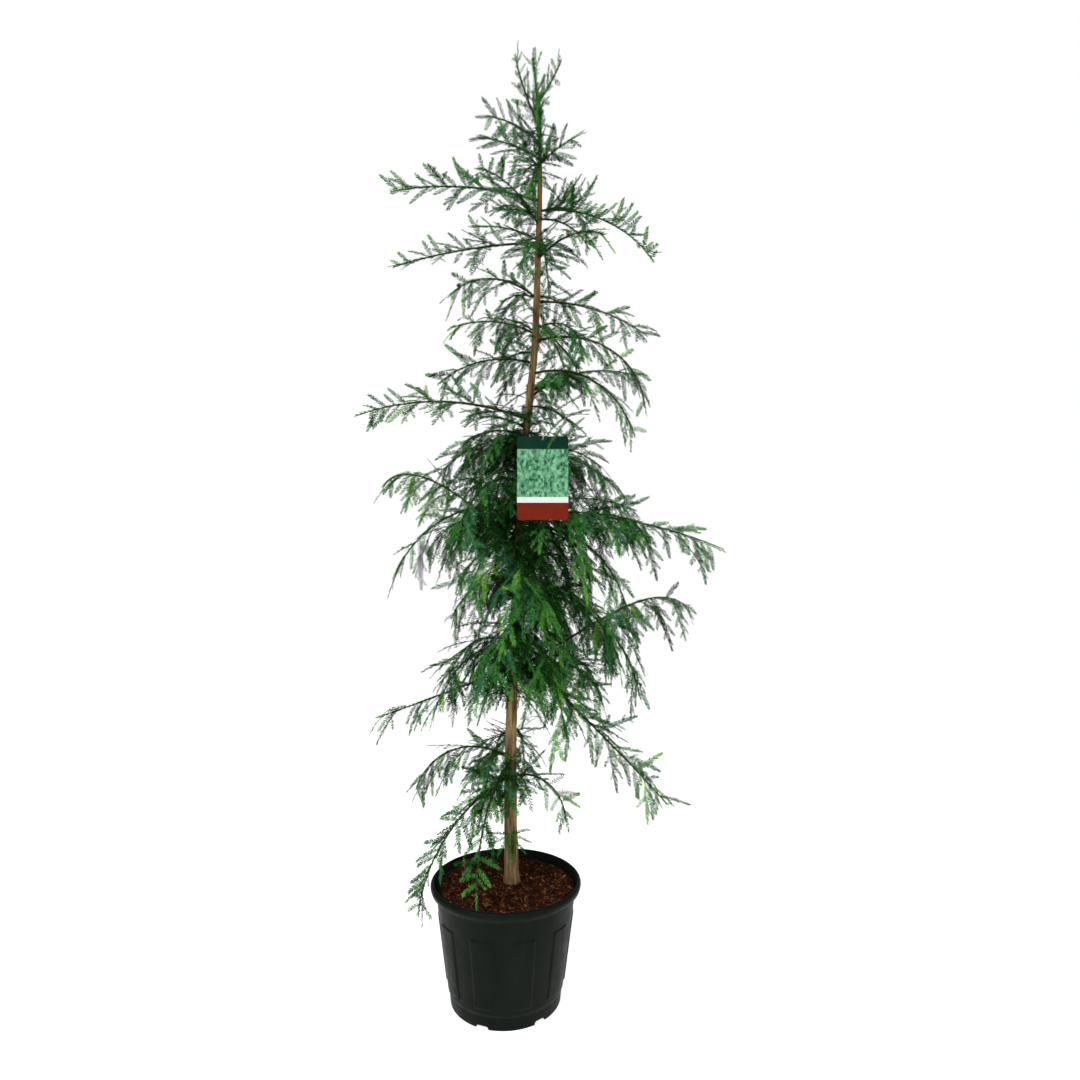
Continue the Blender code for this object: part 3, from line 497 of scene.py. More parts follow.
def lay_over(material, target, low, high):
    """Blend the finish towards another colour between two heights."""
    tree = material.node_tree
    shader = tree.nodes["Principled BSDF"]
    below = shader.inputs["Base Color"].links[0].from_socket
    place = tree.nodes.new("ShaderNodeTexCoord")
    axes = tree.nodes.new("ShaderNodeSeparateXYZ")
    ramp = set_inputs(tree.nodes.new("ShaderNodeMapRange"), {"From Min": low, "From Max": high})
    mix = tree.nodes.new("ShaderNodeMix")
    mix.data_type = "RGBA"
    mix.inputs["B"].default_value = (*target, 1.0)
    wire(
        tree,
        (place.outputs["Object"], axes.inputs[0]),
        (axes.outputs["Z"], ramp.inputs["Value"]),
        (ramp.outputs[0], mix.inputs["Factor"]),
        (below, mix.inputs["A"]),
        (mix.outputs["Result"], shader.inputs["Base Color"]),
    )


def paint(piece, materials):
    """Give the piece these finishes and no others."""
    piece.data.materials.clear()
    for material in materials:
        piece.data.materials.append(material)


print("a finish starts with", len(drift.interface.items_tree), "sockets of drift")

# %% [markdown]
# ## The needles' greens
# A redwood spray isn't one green. New tips are yellow-green, the sprays in the light are mid green, and
# some show their blue-green undersides. The sprays close to the trunk take nearly black greens, which are
# painted shade. Each spray is dealt one of these finishes, which keeps every colour a plain one and lets
# the crown shimmer.

# %% Needle finishes
GREENS = (
    # needle_shade is painted shade, nearly black, for the sprays deep in the crown; needle_deep serves both
    # as a real dark green and as painted shade.
    ("needle_shade", (0.0012, 0.010, 0.0014), (0.0030, 0.020, 0.0034)),
    ("needle_deep", (0.004, 0.034, 0.004), (0.009, 0.058, 0.008)),
    ("needle_mid", (0.016, 0.116, 0.012), (0.034, 0.174, 0.025)),
    ("needle_blue", (0.018, 0.092, 0.036), (0.036, 0.140, 0.062)),
    ("needle_light", (0.046, 0.200, 0.022), (0.084, 0.270, 0.040)),
    ("needle_fresh", (0.110, 0.310, 0.026), (0.170, 0.390, 0.046)),
)
SHADE, DEEP, MID, BLUE, LIGHT, FRESH = range(6)
# The green that each tone darkens to where a needle gets painted shade.
IN_ITS_OWN_SHADE = np.array((SHADE, SHADE, DEEP, DEEP, MID, LIGHT))
DARK_LOOK = {"edge": 0.05, "specular": 0.04}
LIT_LOOK = {"edge": 0.18, "specular": 0.09}
needle_finishes = [
    finish(name, first, second, 45.0, 0.65, **(DARK_LOOK if tone < MID else LIT_LOOK))
    for tone, (name, first, second) in enumerate(GREENS)
]
TWIG_COLOURS = (
    ("twig_bark", (0.010, 0.012, 0.004), (0.034, 0.028, 0.010), 0.85, 0.0003),
    ("twig_green", (0.007, 0.028, 0.005), (0.018, 0.048, 0.009), 0.70, 0.0002),
    ("twig_pale", (0.045, 0.110, 0.040), (0.090, 0.175, 0.075), 0.70, 0.0002),
)
TWIG_BARK, TWIG_GREEN, TWIG_PALE = range(3)
twig_finishes = [
    finish(name, first, second, 90.0, roughness, bump=bump, bump_scale=500.0, specular=0.08)
    for name, first, second, roughness, bump in TWIG_COLOURS
]
print("needle finishes:", len(needle_finishes), "and twig finishes:", len(twig_finishes))

# %% [markdown]
# ## Shoots, many at a time
# A shoot is a root, a heading, the flat direction of its spray, a hang and a
# length. All shoots of one kind are held together as arrays. Four small helpers do
# the growing: one walks the lines under gravity, one reads a point on them, one
# deals out children to each shoot, and one keeps the shoots that are wanted.

# %% Growing helpers
Shoots = namedtuple("Shoots", "root heading across hang length tone girth")
HANG_START = 0.35


def walk(shoots, steps):
    """Lines of many shoots, each pulled down more and more towards its tip."""
    middle = (np.arange(steps) + 0.5) / steps
    pull = shoots.hang[:, None] * (HANG_START + (1 - HANG_START) * middle)
    turned = np.repeat(shoots.heading[:, None, :], steps, axis=1)
    turned[:, :, 2] -= pull
    turned = unit(turned)
    stride = turned * (shoots.length / steps)[:, None, None]
    start = shoots.root[:, None, :]
    return np.concatenate((start, start + np.cumsum(stride, axis=1)), axis=1), turned


def sample(line, turned, owner, share):
    """Point and heading at a share of the lines that own it."""
    steps = turned.shape[1]
    place = np.clip(share, 0, 0.9999) * steps
    low = place.astype(int)
    part = (place - low)[:, None]
    point = line[owner, low] * (1 - part) + line[owner, low + 1] * part
    return point, turned[owner, low]


def deal(counts):
    """The owner of each child, and the child's number on its owner."""
    owner = np.repeat(np.arange(len(counts)), counts)
    first = np.repeat(np.cumsum(counts) - counts, counts)
    return owner, np.arange(len(owner)) - first


def pick(shoots, keep):
    """Only the shoots that are marked to be kept."""
    return Shoots(*(field[keep] for field in shoots))


print("owners of two, no and three children:", deal(np.array((2, 0, 3)))[0])

# %% [markdown]
# ## Where nothing may grow
# Some places stay clear of twigs: the pot's wall, the mulch, the trunk and the
# hanging card with the air just before it. A shoot whose line enters one of
# them is left out, which is what a plant under a nursery worker's hands is like.

# %% Clear places
POT_REACH = 0.214
BOWL_REACH = 0.176
BOWL_FLOOR = 0.306
RIM_CLEAR = 0.326
CARD_CENTRE = np.array((0.1000, -0.1500, 1.3920))
CARD_SIZE = np.array((0.134, 0.0012, 0.220))
CARD_CLEAR = (0.012, 0.022, 0.006)
TRUNK_CLEAR = 0.001
TIP_CLEAR = 0.010
CROWN_LOW = np.array(cad_low)
CROWN_HIGH = np.array(cad_high) - np.array((0, 0, TIP_CLEAR))


def clear_of_everything(line, rooted=2):
    """Which lines stay out of the pot, the mulch, the trunk and the card."""
    x, y, z = line[..., 0], line[..., 1], line[..., 2]
    around = np.hypot(x, y)
    wall = (z < RIM_CLEAR) & (around > BOWL_REACH) & (around < POT_REACH)
    mulch = (z < BOWL_FLOOR) & (around < POT_REACH)
    wood = np.hypot(x - trunk_x(z), y) < trunk_radius(z) + TRUNK_CLEAR
    wood[:, :rooted] = False
    beside = np.abs(x - CARD_CENTRE[0]) < CARD_SIZE[0] / 2 + CARD_CLEAR[0]
    level = np.abs(z - CARD_CENTRE[2]) < CARD_SIZE[2] / 2 + CARD_CLEAR[2]
    card = beside & level & (y < CARD_CENTRE[1] + CARD_CLEAR[1])
    outside = ((line < CROWN_LOW) | (line > CROWN_HIGH)).any(axis=-1)
    return ~(wall | mulch | wood | card | outside).any(axis=1)


print("lowest and highest twig:", round(CROWN_LOW[2], 3), round(CROWN_HIGH[2], 3))

# %% [markdown]
# ## Sprays along a limb
# The first shoots follow the rule the solids were made with: a fixed number of
# slots along the stem, left and right in turn, with a seeded tilt, spread and
# hang. Between them go shorter ones, since a real limb has a shoot every one or
# two centimetres. A few limbs carry them closer together or further apart.

# %% Second-order shoots
SPRAY_ANGLE = 54.0
SPRAY_TAPER = 0.42
TIP_SLOT = STEM_END - 0.03
LAST_SLOT = STEM_END - 0.04
SHORTEST_TIP = 0.055
SHOOT_STEP_TOP = 0.0135
SHOOT_STEP_BELT = 0.016
CLOSE_SHOOTS = ("right_long", "right_arch", "left_pot")
CLOSE_STEP = 0.66
SPARSE_SHOOTS = ("left_low_long", "left_droop")
SPARSE_STEP = 1.6
FILLER_FROM = 0.05
FILLER_TO = 0.97
FILLER_TAPER = 0.45
GIRTH_LEAST = 0.0006
GIRTH_GAIN = 0.0034


def slot_shoots(number, limb):
    """The shoots that the solids have, by the same seeded rule."""
    rng = random.Random(100 + number)
    slots = [(TIP_SLOT, 0)]
    for i in range(limb.sprays):
        share = limb.first + (LAST_SLOT - limb.first) * i / (limb.sprays - 1)
        slots.append((share, 1 if (i + number) % 2 else -1))
    rows = []
    for share, side in slots:
        outward = (share - limb.first) / (1.0 - limb.first)
        length = limb.reach * (1.0 - SPRAY_TAPER * outward)
        roll = math.radians(limb.roll + rng.uniform(-16, 16))
        spread = math.radians(SPRAY_ANGLE + rng.uniform(-12, 12))
        lift = 0.0
        if side == 0:
            length = max(limb.length * (1.0 - share), SHORTEST_TIP)
            spread = 0.0
            lift = rng.uniform(-0.1, 0.05)
        rows.append((share, side, length, roll, spread, lift, limb.hang * rng.uniform(0.75, 1.3)))
    return np.array(rows)


def filler_shoots(number, limb):
    """Shorter shoots between the slots, evenly spaced with some play."""
    rng = np.random.default_rng(500 + number)
    thick = limb.reach > BELT_REACH
    step = SHOOT_STEP_BELT if thick else SHOOT_STEP_TOP
    if limb.name in CLOSE_SHOOTS:
        step *= CLOSE_STEP
    if limb.name in SPARSE_SHOOTS:
        step *= SPARSE_STEP
    start = max(limb.bare, FILLER_FROM)
    count = int(limb.length * (FILLER_TO - start) / step)
    share = start + (FILLER_TO - start) * (np.arange(count) + rng.uniform(0.2, 0.8, count)) / count
    side = left_and_right(np.arange(count))
    outward = np.clip((share - limb.first) / (1.0 - limb.first), 0, 1)
    size = rng.uniform(0.26, 0.66, count) if thick else rng.uniform(0.42, 0.92, count)
    length = limb.reach * (1.0 - FILLER_TAPER * outward) * size
    roll = np.radians(limb.roll + rng.normal(0, 58 if thick else 34, count))
    spread = np.radians(SPRAY_ANGLE + rng.uniform(-22, 14, count))
    lift = rng.uniform(-0.10, 0.42 if thick else 0.55, count)
    hang = limb.hang * rng.uniform(0.05, 1.15, count)
    return np.column_stack((share, side, length, roll, spread, lift, hang))


def shoot_girth(length):
    """Radius of a shoot at its root, thicker on a longer shoot."""
    return GIRTH_LEAST + GIRTH_GAIN * length


def limb_shoots(number, limb, path):
    """All second-order shoots of one limb, as arrays."""
    rows = np.vstack((slot_shoots(number, limb), filler_shoots(number, limb)))
    share, side, length, roll, spread, lift, hang = rows.T
    tangent = path.tangent(share)
    flat = np.repeat(path.side[None], len(rows), axis=0)
    sideways = unit(turned_about(tangent, flat, roll))
    heading = lean(tangent, sideways, spread, side)
    heading[:, 2] += lift
    heading = unit(heading)
    normal = unit(np.cross(tangent, sideways))
    across = unit(np.cross(normal, heading))
    point = path.point(share)
    tone = spray_tones(number, limb, point)
    return Shoots(point, heading, across, hang, length, tone, shoot_girth(length))


# Odds of each green close to the trunk and far out: the inner odds are mostly painted shade, the outer ones
# carry some painted light.
INNER_BELT = np.array((0.72, 0.27, 0.01, 0.00, 0.00, 0.00))
OUTER_BELT = np.array((0.03, 0.33, 0.39, 0.13, 0.09, 0.03))
INNER_OPEN = np.array((0.10, 0.36, 0.32, 0.20, 0.02, 0.00))
OUTER_OPEN = np.array((0.00, 0.15, 0.42, 0.28, 0.12, 0.03))
BELT_DEPTH = 0.30
OPEN_DEPTH = 0.18


def spray_tones(number, limb, point):
    """Painted shade by the trunk, mid and blue in the middle, and paler greens outside, partly new growth
    and partly painted light.
    """
    rng = np.random.default_rng(900 + number)
    away = np.hypot(point[:, 0] - trunk_x(point[:, 2]), point[:, 1])
    inner, outer, depth = INNER_OPEN, OUTER_OPEN, OPEN_DEPTH
    if limb.reach > BELT_REACH:
        inner, outer, depth = INNER_BELT, OUTER_BELT, BELT_DEPTH
    ripe = np.clip(away / depth, 0, 1)[:, None]
    odds = np.cumsum(inner + (outer - inner) * ripe, axis=1)
    draw = rng.uniform(0, 1, len(point))[:, None]
    return (draw > odds).sum(axis=1).clip(0, FRESH)


trial = limb_shoots(6, LIMBS[6], PATHS[6])
print("shoots on", LIMBS[6].name, len(trial.length), "mean length", round(float(trial.length.mean()), 3))

# %% [markdown]
# ## Finer twigs
# Each longer shoot branches again in its own plane, left and right in turn, at
# the angle of the teeth on the solids. The twigs are longest below the middle of
# the shoot, so that the spray keeps the outline of a feather. Twigs that are
# still long branch once more. A small table says what changes from one order of
# twigs to the next; a twig step of nought means that the last order bears none.

# %% Third and fourth order
TWIG_ANGLE = 46.0
TWIG_FROM = 0.10
TWIG_TO = 0.88
TWIG_SLIMMER = 0.55
SHOOT_BENDS = 5
TWIG_BENDS = 2
Order = namedtuple("Order", "bends needle_share twig_step bears_from twig_reach shortest")
OPEN_ORDERS = (
    Order(SHOOT_BENDS, 1.00, 0.019, 0.095, 0.42, 0.016),
    Order(TWIG_BENDS, 0.95, 0.018, 0.055, 0.48, 0.014),
    Order(TWIG_BENDS, 0.85, 0, 0, 0, 0),
)
BELT_ORDERS = (OPEN_ORDERS[0]._replace(twig_step=0.022, bears_from=0.060), *OPEN_ORDERS[1:])
PALER = (
    (SHADE, 0.00, 0.22, DEEP),
    (DEEP, 0.00, 0.24, MID),
    (MID, 0.00, 0.14, LIGHT),
    (MID, 0.95, 1.00, FRESH),
    (LIGHT, 0.80, 1.00, FRESH),
)


def twig_tones(tone, rng):
    """Most twigs keep the tone of their shoot, and some are one or two steps paler."""
    draw = rng.uniform(0, 1, len(tone))
    paler = tone.copy()
    for old, low, high, new in PALER:
        paler[(tone == old) & (draw > low) & (draw < high)] = new
    return paler


def branch(parents, line, turned, rng, order):
    """Children of every shoot that is long enough, in the shoot's own plane."""
    room = parents.length * (TWIG_TO - TWIG_FROM) / order.twig_step
    counts = np.where(parents.length > order.bears_from, room.astype(int), 0)
    owner, number = deal(counts)
    if not len(owner):
        return None
    along = (number + rng.uniform(0.3, 0.7, len(owner))) / counts[owner]
    root, heading = sample(line, turned, owner, TWIG_FROM + (TWIG_TO - TWIG_FROM) * along)
    across = square_to(heading, parents.across[owner])
    normal = np.cross(heading, across)
    angle = np.radians(TWIG_ANGLE + rng.uniform(-9, 9, len(owner)))
    out = lean(heading, across, angle, left_and_right(number))
    out = unit(out + rng.normal(0, 0.10, len(owner))[:, None] * normal)
    shape = (0.62 + 0.38 * np.sin(np.pi * np.minimum(along + 0.15, 1.0))) * (1.0 - 0.50 * along)
    length = parents.length[owner] * order.twig_reach * shape * rng.uniform(0.65, 1.1, len(owner))
    flat = unit(np.cross(normal, out))
    tone = twig_tones(parents.tone[owner], rng)
    hang = 0.30 * parents.hang[owner] + 0.16
    children = Shoots(root, out, flat, hang, length, tone, TWIG_SLIMMER * parents.girth[owner])
    return pick(children, children.length > order.shortest)


print("orders of twigs:", len(OPEN_ORDERS), "and shortest kept:", OPEN_ORDERS[0].shortest)

# %% [markdown]
# ## Needles
# A needle is a narrow pointed blade of three triangles, bent a little along its length. They stand in two
# ranks, left and right of the twig, at some sixty degrees, and fold forward near the tip. They are short at
# the root of the twig, longest in its lower half and short again at the end. On sprays of painted shade
# they stand further apart, where nobody could count them. Some needles, most of them on one side of the
# twig, take a darker green, which is painted shade as if they were turned away from the light.

# %% Needle rows
NEEDLE_STEP = 0.0040
NEEDLE_LENGTH = 0.0112
NEEDLE_WIDTH = 0.0030
SHADE_STEP = 0.0062
FEWEST_PAIRS = 3
NEEDLE_ANGLE = 60.0
NEEDLE_FOLD = 34.0
NEEDLE_ROOT_WIDTH = 0.62
NEEDLE_WIDEST = 0.52
NEEDLE_BEND = 0.05
FULL_TWIG = 0.05
YOUNG_FROM = 0.72
YOUNG_ODDS = 0.34
PAINTED_SHADE_ODDS = (0.42, 0.10)
Needles = namedtuple("Needles", "root heading flat length tone")


def needle_rows(shoots, line, turned, rng, longest):
    """Two ranks of needles on every shoot."""
    step = np.where(shoots.tone == SHADE, SHADE_STEP, NEEDLE_STEP)
    pairs = np.maximum((shoots.length / step).astype(int), FEWEST_PAIRS)
    owner, number = deal(pairs * 2)
    count = len(owner)
    side = left_and_right(number)
    share = (number // 2 + 0.5 + 0.25 * side) / pairs[owner]
    root, heading = sample(line, turned, owner, share)
    across = square_to(heading, shoots.across[owner])
    normal = np.cross(heading, across)
    normal = normal * np.where(normal[:, 2:] < 0, -1.0, 1.0)
    angle = np.radians(NEEDLE_ANGLE - NEEDLE_FOLD * share ** 3 + rng.normal(0, 6, count))
    lift = rng.normal(0.14, 0.13, count)
    out = unit(lean(heading, across, angle, side) + lift[:, None] * normal)
    shape = np.interp(share, (0.0, 0.3, 0.8, 1.0), (0.55, 1.0, 0.92, 0.66))
    size = np.clip(shoots.length[owner] / FULL_TWIG, 0.62, 1.0)
    length = longest * shape * size * rng.uniform(0.85, 1.12, count)
    flat = unit(np.cross(normal, out) + 0.25 * rng.normal(0, 1, count)[:, None] * normal)
    tone = shoots.tone[owner]
    young = (share > YOUNG_FROM) & (tone >= MID) & (tone != BLUE)
    lucky = rng.uniform(0, 1, len(shoots.length))[owner] < YOUNG_ODDS
    tone = np.where(young & lucky, np.minimum(LIGHT + (tone > MID), FRESH), tone)
    # Painted shade: a share of the needles, more on one side of the twig, take the darker green.
    painted_shade_needles = rng.uniform(0, 1, count) < np.where(side > 0, *PAINTED_SHADE_ODDS)
    tone = np.where(painted_shade_needles, IN_ITS_OWN_SHADE[tone], tone)
    return Needles(root, out, flat, length, tone)


def needle_piece(name, needles):
    """All needles of one tier as a single mesh."""
    half = (needles.length / NEEDLE_LENGTH) ** 0.4 * NEEDLE_WIDTH / 2
    wide = needles.flat * half[:, None]
    over = np.cross(needles.heading, needles.flat)
    reach = needles.heading * needles.length[:, None]
    bend = over * (NEEDLE_BEND * needles.length)[:, None]
    middle = needles.root + NEEDLE_WIDEST * reach + bend
    points = np.stack((
        needles.root - NEEDLE_ROOT_WIDTH * wide,
        needles.root + NEEDLE_ROOT_WIDTH * wide,
        middle + wide,
        needles.root + reach - bend,
        middle - wide,
    ), axis=1)
    corners = np.array(((0, 1, 2), (0, 2, 4), (4, 2, 3)))
    faces = corners[None] + (np.arange(len(half)) * 5)[:, None, None]
    slots = np.repeat(needles.tone, len(corners))
    faces = faces.reshape(-1, 3)
    return mesh_piece(name, points.reshape(-1, 3), faces, needle_finishes, slots, smooth=False)


print("needles on a full twig:", 2 * int(FULL_TWIG / NEEDLE_STEP))

# %% [markdown]
# ## The stems in the crown
# The stem of an open limb below the top is brown, and the stems at the top and in
# the belt are green. Short scale needles are pressed against them all round. A
# stem is a tube of six sides, a little uneven, and the scale needles wind about
# it in a spiral.

# %% Stems and scale needles
STEM_RING = 0.012
STEM_SIDES = 6
TWIG_SIDES = 3
STEM_WANDER = 0.0007
SCALES_FROM = 0.12
SCALE_STEP = 0.0018
SCALE_LENGTH = 0.0095
GOLDEN_ANGLE = math.radians(137.5)


def limb_line(path, start, end, length, step=STEM_RING):
    """Shares and points along a limb, about one step apart."""
    count = max(4, int(length * (end - start) / step))
    share = np.linspace(start, end, count + 1)
    return share, path.point(share)


def stem_tube(number, limb, path):
    """The stem from where the mass begins to the tip of the limb."""
    rng = np.random.default_rng(700 + number)
    share, points = limb_line(path, limb.bare, 1.0, limb.length)
    radii = limb_radius(limb, share) * (1 + rng.normal(0, 0.06, len(share)))
    wander = rng.normal(0, STEM_WANDER, points.shape)
    wander[:2] = 0
    return points + np.cumsum(wander, axis=0) * 0.4, radii


def scale_needles(number, limb, path):
    """Short needles in a spiral, from near the root of the stem to its tip."""
    rng = np.random.default_rng(800 + number)
    start = max(SCALES_FROM, limb.bare)
    count = int(limb.length * (1.0 - start) / SCALE_STEP)
    share = np.linspace(start, 0.998, count)
    tangent = path.tangent(share)
    flat = np.repeat(path.side[None], count, axis=0)
    spoke = turned_about(tangent, flat, np.arange(count) * GOLDEN_ANGLE)
    root = path.point(share) + spoke * (0.7 * limb_radius(limb, share))[:, None]
    heading = unit(0.80 * tangent + (0.55 + 0.20 * rng.uniform(-1, 1, count))[:, None] * spoke)
    wide = unit(np.cross(tangent, spoke))
    length = SCALE_LENGTH * rng.uniform(0.75, 1.25, count)
    tone = np.where(share > 0.90, LIGHT, np.where(share < 0.4, DEEP, rng.choice((DEEP, MID), count)))
    return Needles(root, heading, wide, length, tone)


trial = scale_needles(6, LIMBS[6], PATHS[6])
print("scale needles on", LIMBS[6].name, len(trial.length))

# %% [markdown]
# ## Growing the crown, tier by tier
# The crown is made in tiers, so that no mesh grows too large. Each tier has one
# mesh of needles and one of twigs, and together they stand for the masses of
# the solid crown at that height.

# %% Tiers
TIERS = (
    ("top", 0, 12),
    ("upper", 12, 20),
    ("belt_top", 20, 28),
    ("belt_middle", 28, 33),
    ("belt_low", 33, 41),
    ("skirt", 41, 46),
)


class Tier:
    """Everything that grows in one tier: twig lines and needles."""

    def __init__(self):
        """Start with nothing grown yet."""
        self.needles = []
        self.twigs = {}

    def add_line(self, line, radii, across, slot):
        """Keep a set of twig lines, beside the others with as many points."""
        self.twigs.setdefault(line.shape[1], []).append((line, radii, across, slot))

    def grow(self, shoots, rng, belt, guarded=True):
        """One family of shoots, with its twigs, their twigs and all needles."""
        for order in BELT_ORDERS if belt else OPEN_ORDERS:
            line, turned = walk(shoots, order.bends)
            if guarded:
                keep = clear_of_everything(line)
                shoots, line, turned = pick(shoots, keep), line[keep], turned[keep]
            self.dress(shoots, line, turned, rng, NEEDLE_LENGTH * order.needle_share)
            if not order.twig_step:
                return
            shoots = branch(shoots, line, turned, rng, order)
            if shoots is None:
                return
            guarded = True

    def dress(self, shoots, line, turned, rng, longest):
        """Put needles on the shoots, and keep their lines for the twig mesh."""
        self.needles.append(needle_rows(shoots, line, turned, rng, longest))
        radii = shoots.girth[:, None] * np.linspace(1.0, 0.35, line.shape[1])
        pale = shoots.tone >= MID
        for chosen, slot in ((pale, TWIG_PALE), (~pale, TWIG_GREEN)):
            if chosen.any():
                self.add_line(line[chosen], radii[chosen], shoots.across[chosen], slot)

    def pieces(self, name, nodes):
        """The tier's two meshes; the needles take the place of the solid masses."""
        needles = Needles(*(np.concatenate(field) for field in zip(*self.needles)))
        leaves = finish_piece(needle_piece("needles_" + name, needles), nodes)
        points, faces, slots = [], [], []
        total = 0
        for bends, parts in self.twigs.items():
            sides = STEM_SIDES if bends > SHOOT_BENDS + 1 else TWIG_SIDES
            for line, radii, across, slot in parts:
                some, skin, _ = tubes(line, radii, across, sides)
                faces.append(skin + total)
                points.append(some)
                slots.append(np.full(len(skin), slot))
                total += len(some)
        slots = np.concatenate(slots)
        twigs = mesh_piece("twigs_" + name, np.vstack(points), np.vstack(faces), twig_finishes, slots)
        finish_piece(twigs)
        return len(leaves.data.polygons) + len(twigs.data.polygons)


print("tiers:", len(TIERS), "limbs in the largest:", max(last - first for _, first, last in TIERS))

# %% [markdown]
# ### Shoots from the trunk itself
# Between its limbs a young redwood sprouts from the trunk too. There are four families of such shoots: long
# ones that fill the core of the belt, some more at its front, scattered ones in the open part above, and
# steep short ones round the leader. The core and front ones take nearly black greens, which are painted
# shade. Each family is one row: its seed, how many there are, between which heights, how long they are, how
# their length shrinks towards the tip, how they hang, which greens they take, how steep they rise and to
# which sides.

# %% Trunk shoots
TrunkFamily = namedtuple("TrunkFamily", "seed count heights lengths shrink hangs tones rises sides")
NO_SHRINK = ((0, 3), (1, 1))
TO_THE_TIP = ((2.3, 2.56), (0.9, 0.45))
OUTWARD = (-5, 55)
STEEP = (35, 70)
ALL_ROUND = (0, 360)
FRONT = (215, 325)
TRUNK_FAMILIES = {
    "open": TrunkFamily(42, 66, (1.56, 2.56), (0.040, 0.115), TO_THE_TIP, (0.2, 1.6),
                        (DEEP, DEEP, MID, BLUE, BLUE, MID), OUTWARD, ALL_ROUND),
    # The core and front families are painted shade: nearly black greens in the middle of the belt.
    "core": TrunkFamily(43, 230, (0.79, 1.56), (0.060, 0.170), NO_SHRINK, (0.6, 2.2),
                        (SHADE, SHADE, DEEP), OUTWARD, ALL_ROUND),
    "front": TrunkFamily(46, 46, (1.00, 1.36), (0.050, 0.120), NO_SHRINK, (0.8, 2.2),
                         (SHADE, DEEP, DEEP), OUTWARD, FRONT),
    "leader": TrunkFamily(44, 34, (2.40, 2.635), (0.022, 0.055), NO_SHRINK, (-0.5, 0.1),
                          (MID, LIGHT, MID, BLUE), STEEP, ALL_ROUND),
}
LEADER_NEEDLES = 300
LEADER_GREEN_FROM = 2.36


def on_trunk(z, spoke, share):
    """Points at these heights, a share of the trunk's radius out from its middle."""
    return np.column_stack((trunk_x(z), np.zeros(len(z)), z)) + spoke * (share * trunk_radius(z))[:, None]


def trunk_shoots(family, draws):
    """Short shoots straight from the trunk."""
    count = family.count
    z = draws.uniform(*family.heights, count)
    length = draws.uniform(*family.lengths, count) * np.interp(z, *family.shrink)
    hang = draws.uniform(*family.hangs, count)
    rng = np.random.default_rng(family.seed)
    azimuth = np.radians(rng.uniform(*family.sides, count))
    rise = np.radians(rng.uniform(*family.rises, count))
    out = np.column_stack((np.cos(azimuth), np.sin(azimuth), np.zeros(count)))
    heading = np.cos(rise)[:, None] * out
    heading[:, 2] = np.sin(rise)
    side = np.column_stack((-np.sin(azimuth), np.cos(azimuth), np.zeros(count)))
    tone = rng.choice(family.tones, count)
    return Shoots(on_trunk(z, out, 0.6), heading, side, hang, length, tone, shoot_girth(length))


def leader_needles():
    """Short needles in a spiral round the soft green top of the trunk."""
    rng = np.random.default_rng(45)
    z = np.linspace(LEADER_GREEN_FROM, TRUNK_TOP - 0.002, LEADER_NEEDLES)
    turn = np.arange(LEADER_NEEDLES) * GOLDEN_ANGLE
    spoke = np.column_stack((np.cos(turn), np.sin(turn), np.zeros(LEADER_NEEDLES)))
    heading = unit(spoke * rng.uniform(0.5, 1.0, LEADER_NEEDLES)[:, None] + np.array((0, 0, 0.9)))
    flat = unit(np.cross(heading, spoke))
    length = SCALE_LENGTH * rng.uniform(0.8, 1.3, LEADER_NEEDLES)
    tone = rng.choice((MID, DEEP, LIGHT), LEADER_NEEDLES)
    return Needles(on_trunk(z, spoke, 0.8), heading, flat, length, tone)


draws = np.random.default_rng(41)
from_trunk = {name: trunk_shoots(family, draws) for name, family in TRUNK_FAMILIES.items()}
print("shoots from the trunk:", {name: len(shoots.length) for name, shoots in from_trunk.items()})

# %% [markdown]
# ### Two sprigs in odd places
# A small sprig stands out of the trunk's foot, and another hangs down before the top of the card. They are
# set one by one, because no rule would put them there.

# %% Sprigs
FOOT_SPRIG_Z = 0.430
FOOT_SPRIG_TURNS = np.radians((-35, 5, 40, 150, 185, 225, 275))
FOOT_SPRIG_FORWARD = -0.40
FOOT_SPRIG_LENGTH = 0.062
FOOT_SPRIG_HANG = 0.4
CARD_SPRIG_SHARES = np.array((0.86, 0.80))
CARD_SPRIG_HEADINGS = ((-0.80, -0.42, -0.30), (-0.75, -0.60, -0.10))
CARD_SPRIG_LENGTHS = [0.115, 0.095]
CARD_SPRIG_HANGS = [1.6, 1.3]
SPRIG_GIRTH = 0.0010

foot_count = len(FOOT_SPRIG_TURNS)
foot_root = (trunk_x(FOOT_SPRIG_Z), -0.9 * trunk_radius(FOOT_SPRIG_Z), FOOT_SPRIG_Z)
foot_headings = np.column_stack((
    np.cos(FOOT_SPRIG_TURNS),
    np.full(foot_count, FOOT_SPRIG_FORWARD),
    np.sin(FOOT_SPRIG_TURNS),
))
card_path = Path(next(limb for limb in LIMBS if limb.name == "front_belt_top"))
sprig_headings = unit(np.vstack((foot_headings, CARD_SPRIG_HEADINGS)))
sprigs = Shoots(
    np.vstack((np.tile(foot_root, (foot_count, 1)), card_path.point(CARD_SPRIG_SHARES))),
    sprig_headings,
    unit(np.cross(sprig_headings, np.array((0.1, 0.9, 0.5)))),
    np.array([FOOT_SPRIG_HANG] * foot_count + CARD_SPRIG_HANGS),
    np.array([FOOT_SPRIG_LENGTH] * foot_count + CARD_SPRIG_LENGTHS),
    np.array([(MID, LIGHT, MID)[k % 3] for k in range(foot_count)] + [MID, BLUE]),
    np.full(foot_count + len(CARD_SPRIG_SHARES), SPRIG_GIRTH),
)
print("sprigs:", len(sprigs.length))

# %% [markdown]
# ### Growing
# Now every limb grows with its lesser limbs, tier by tier, and the shoots of the
# trunk join the tier at their height. The seeds depend on the limb's number, so
# that a change to one limb leaves the shoots of the others as they were.

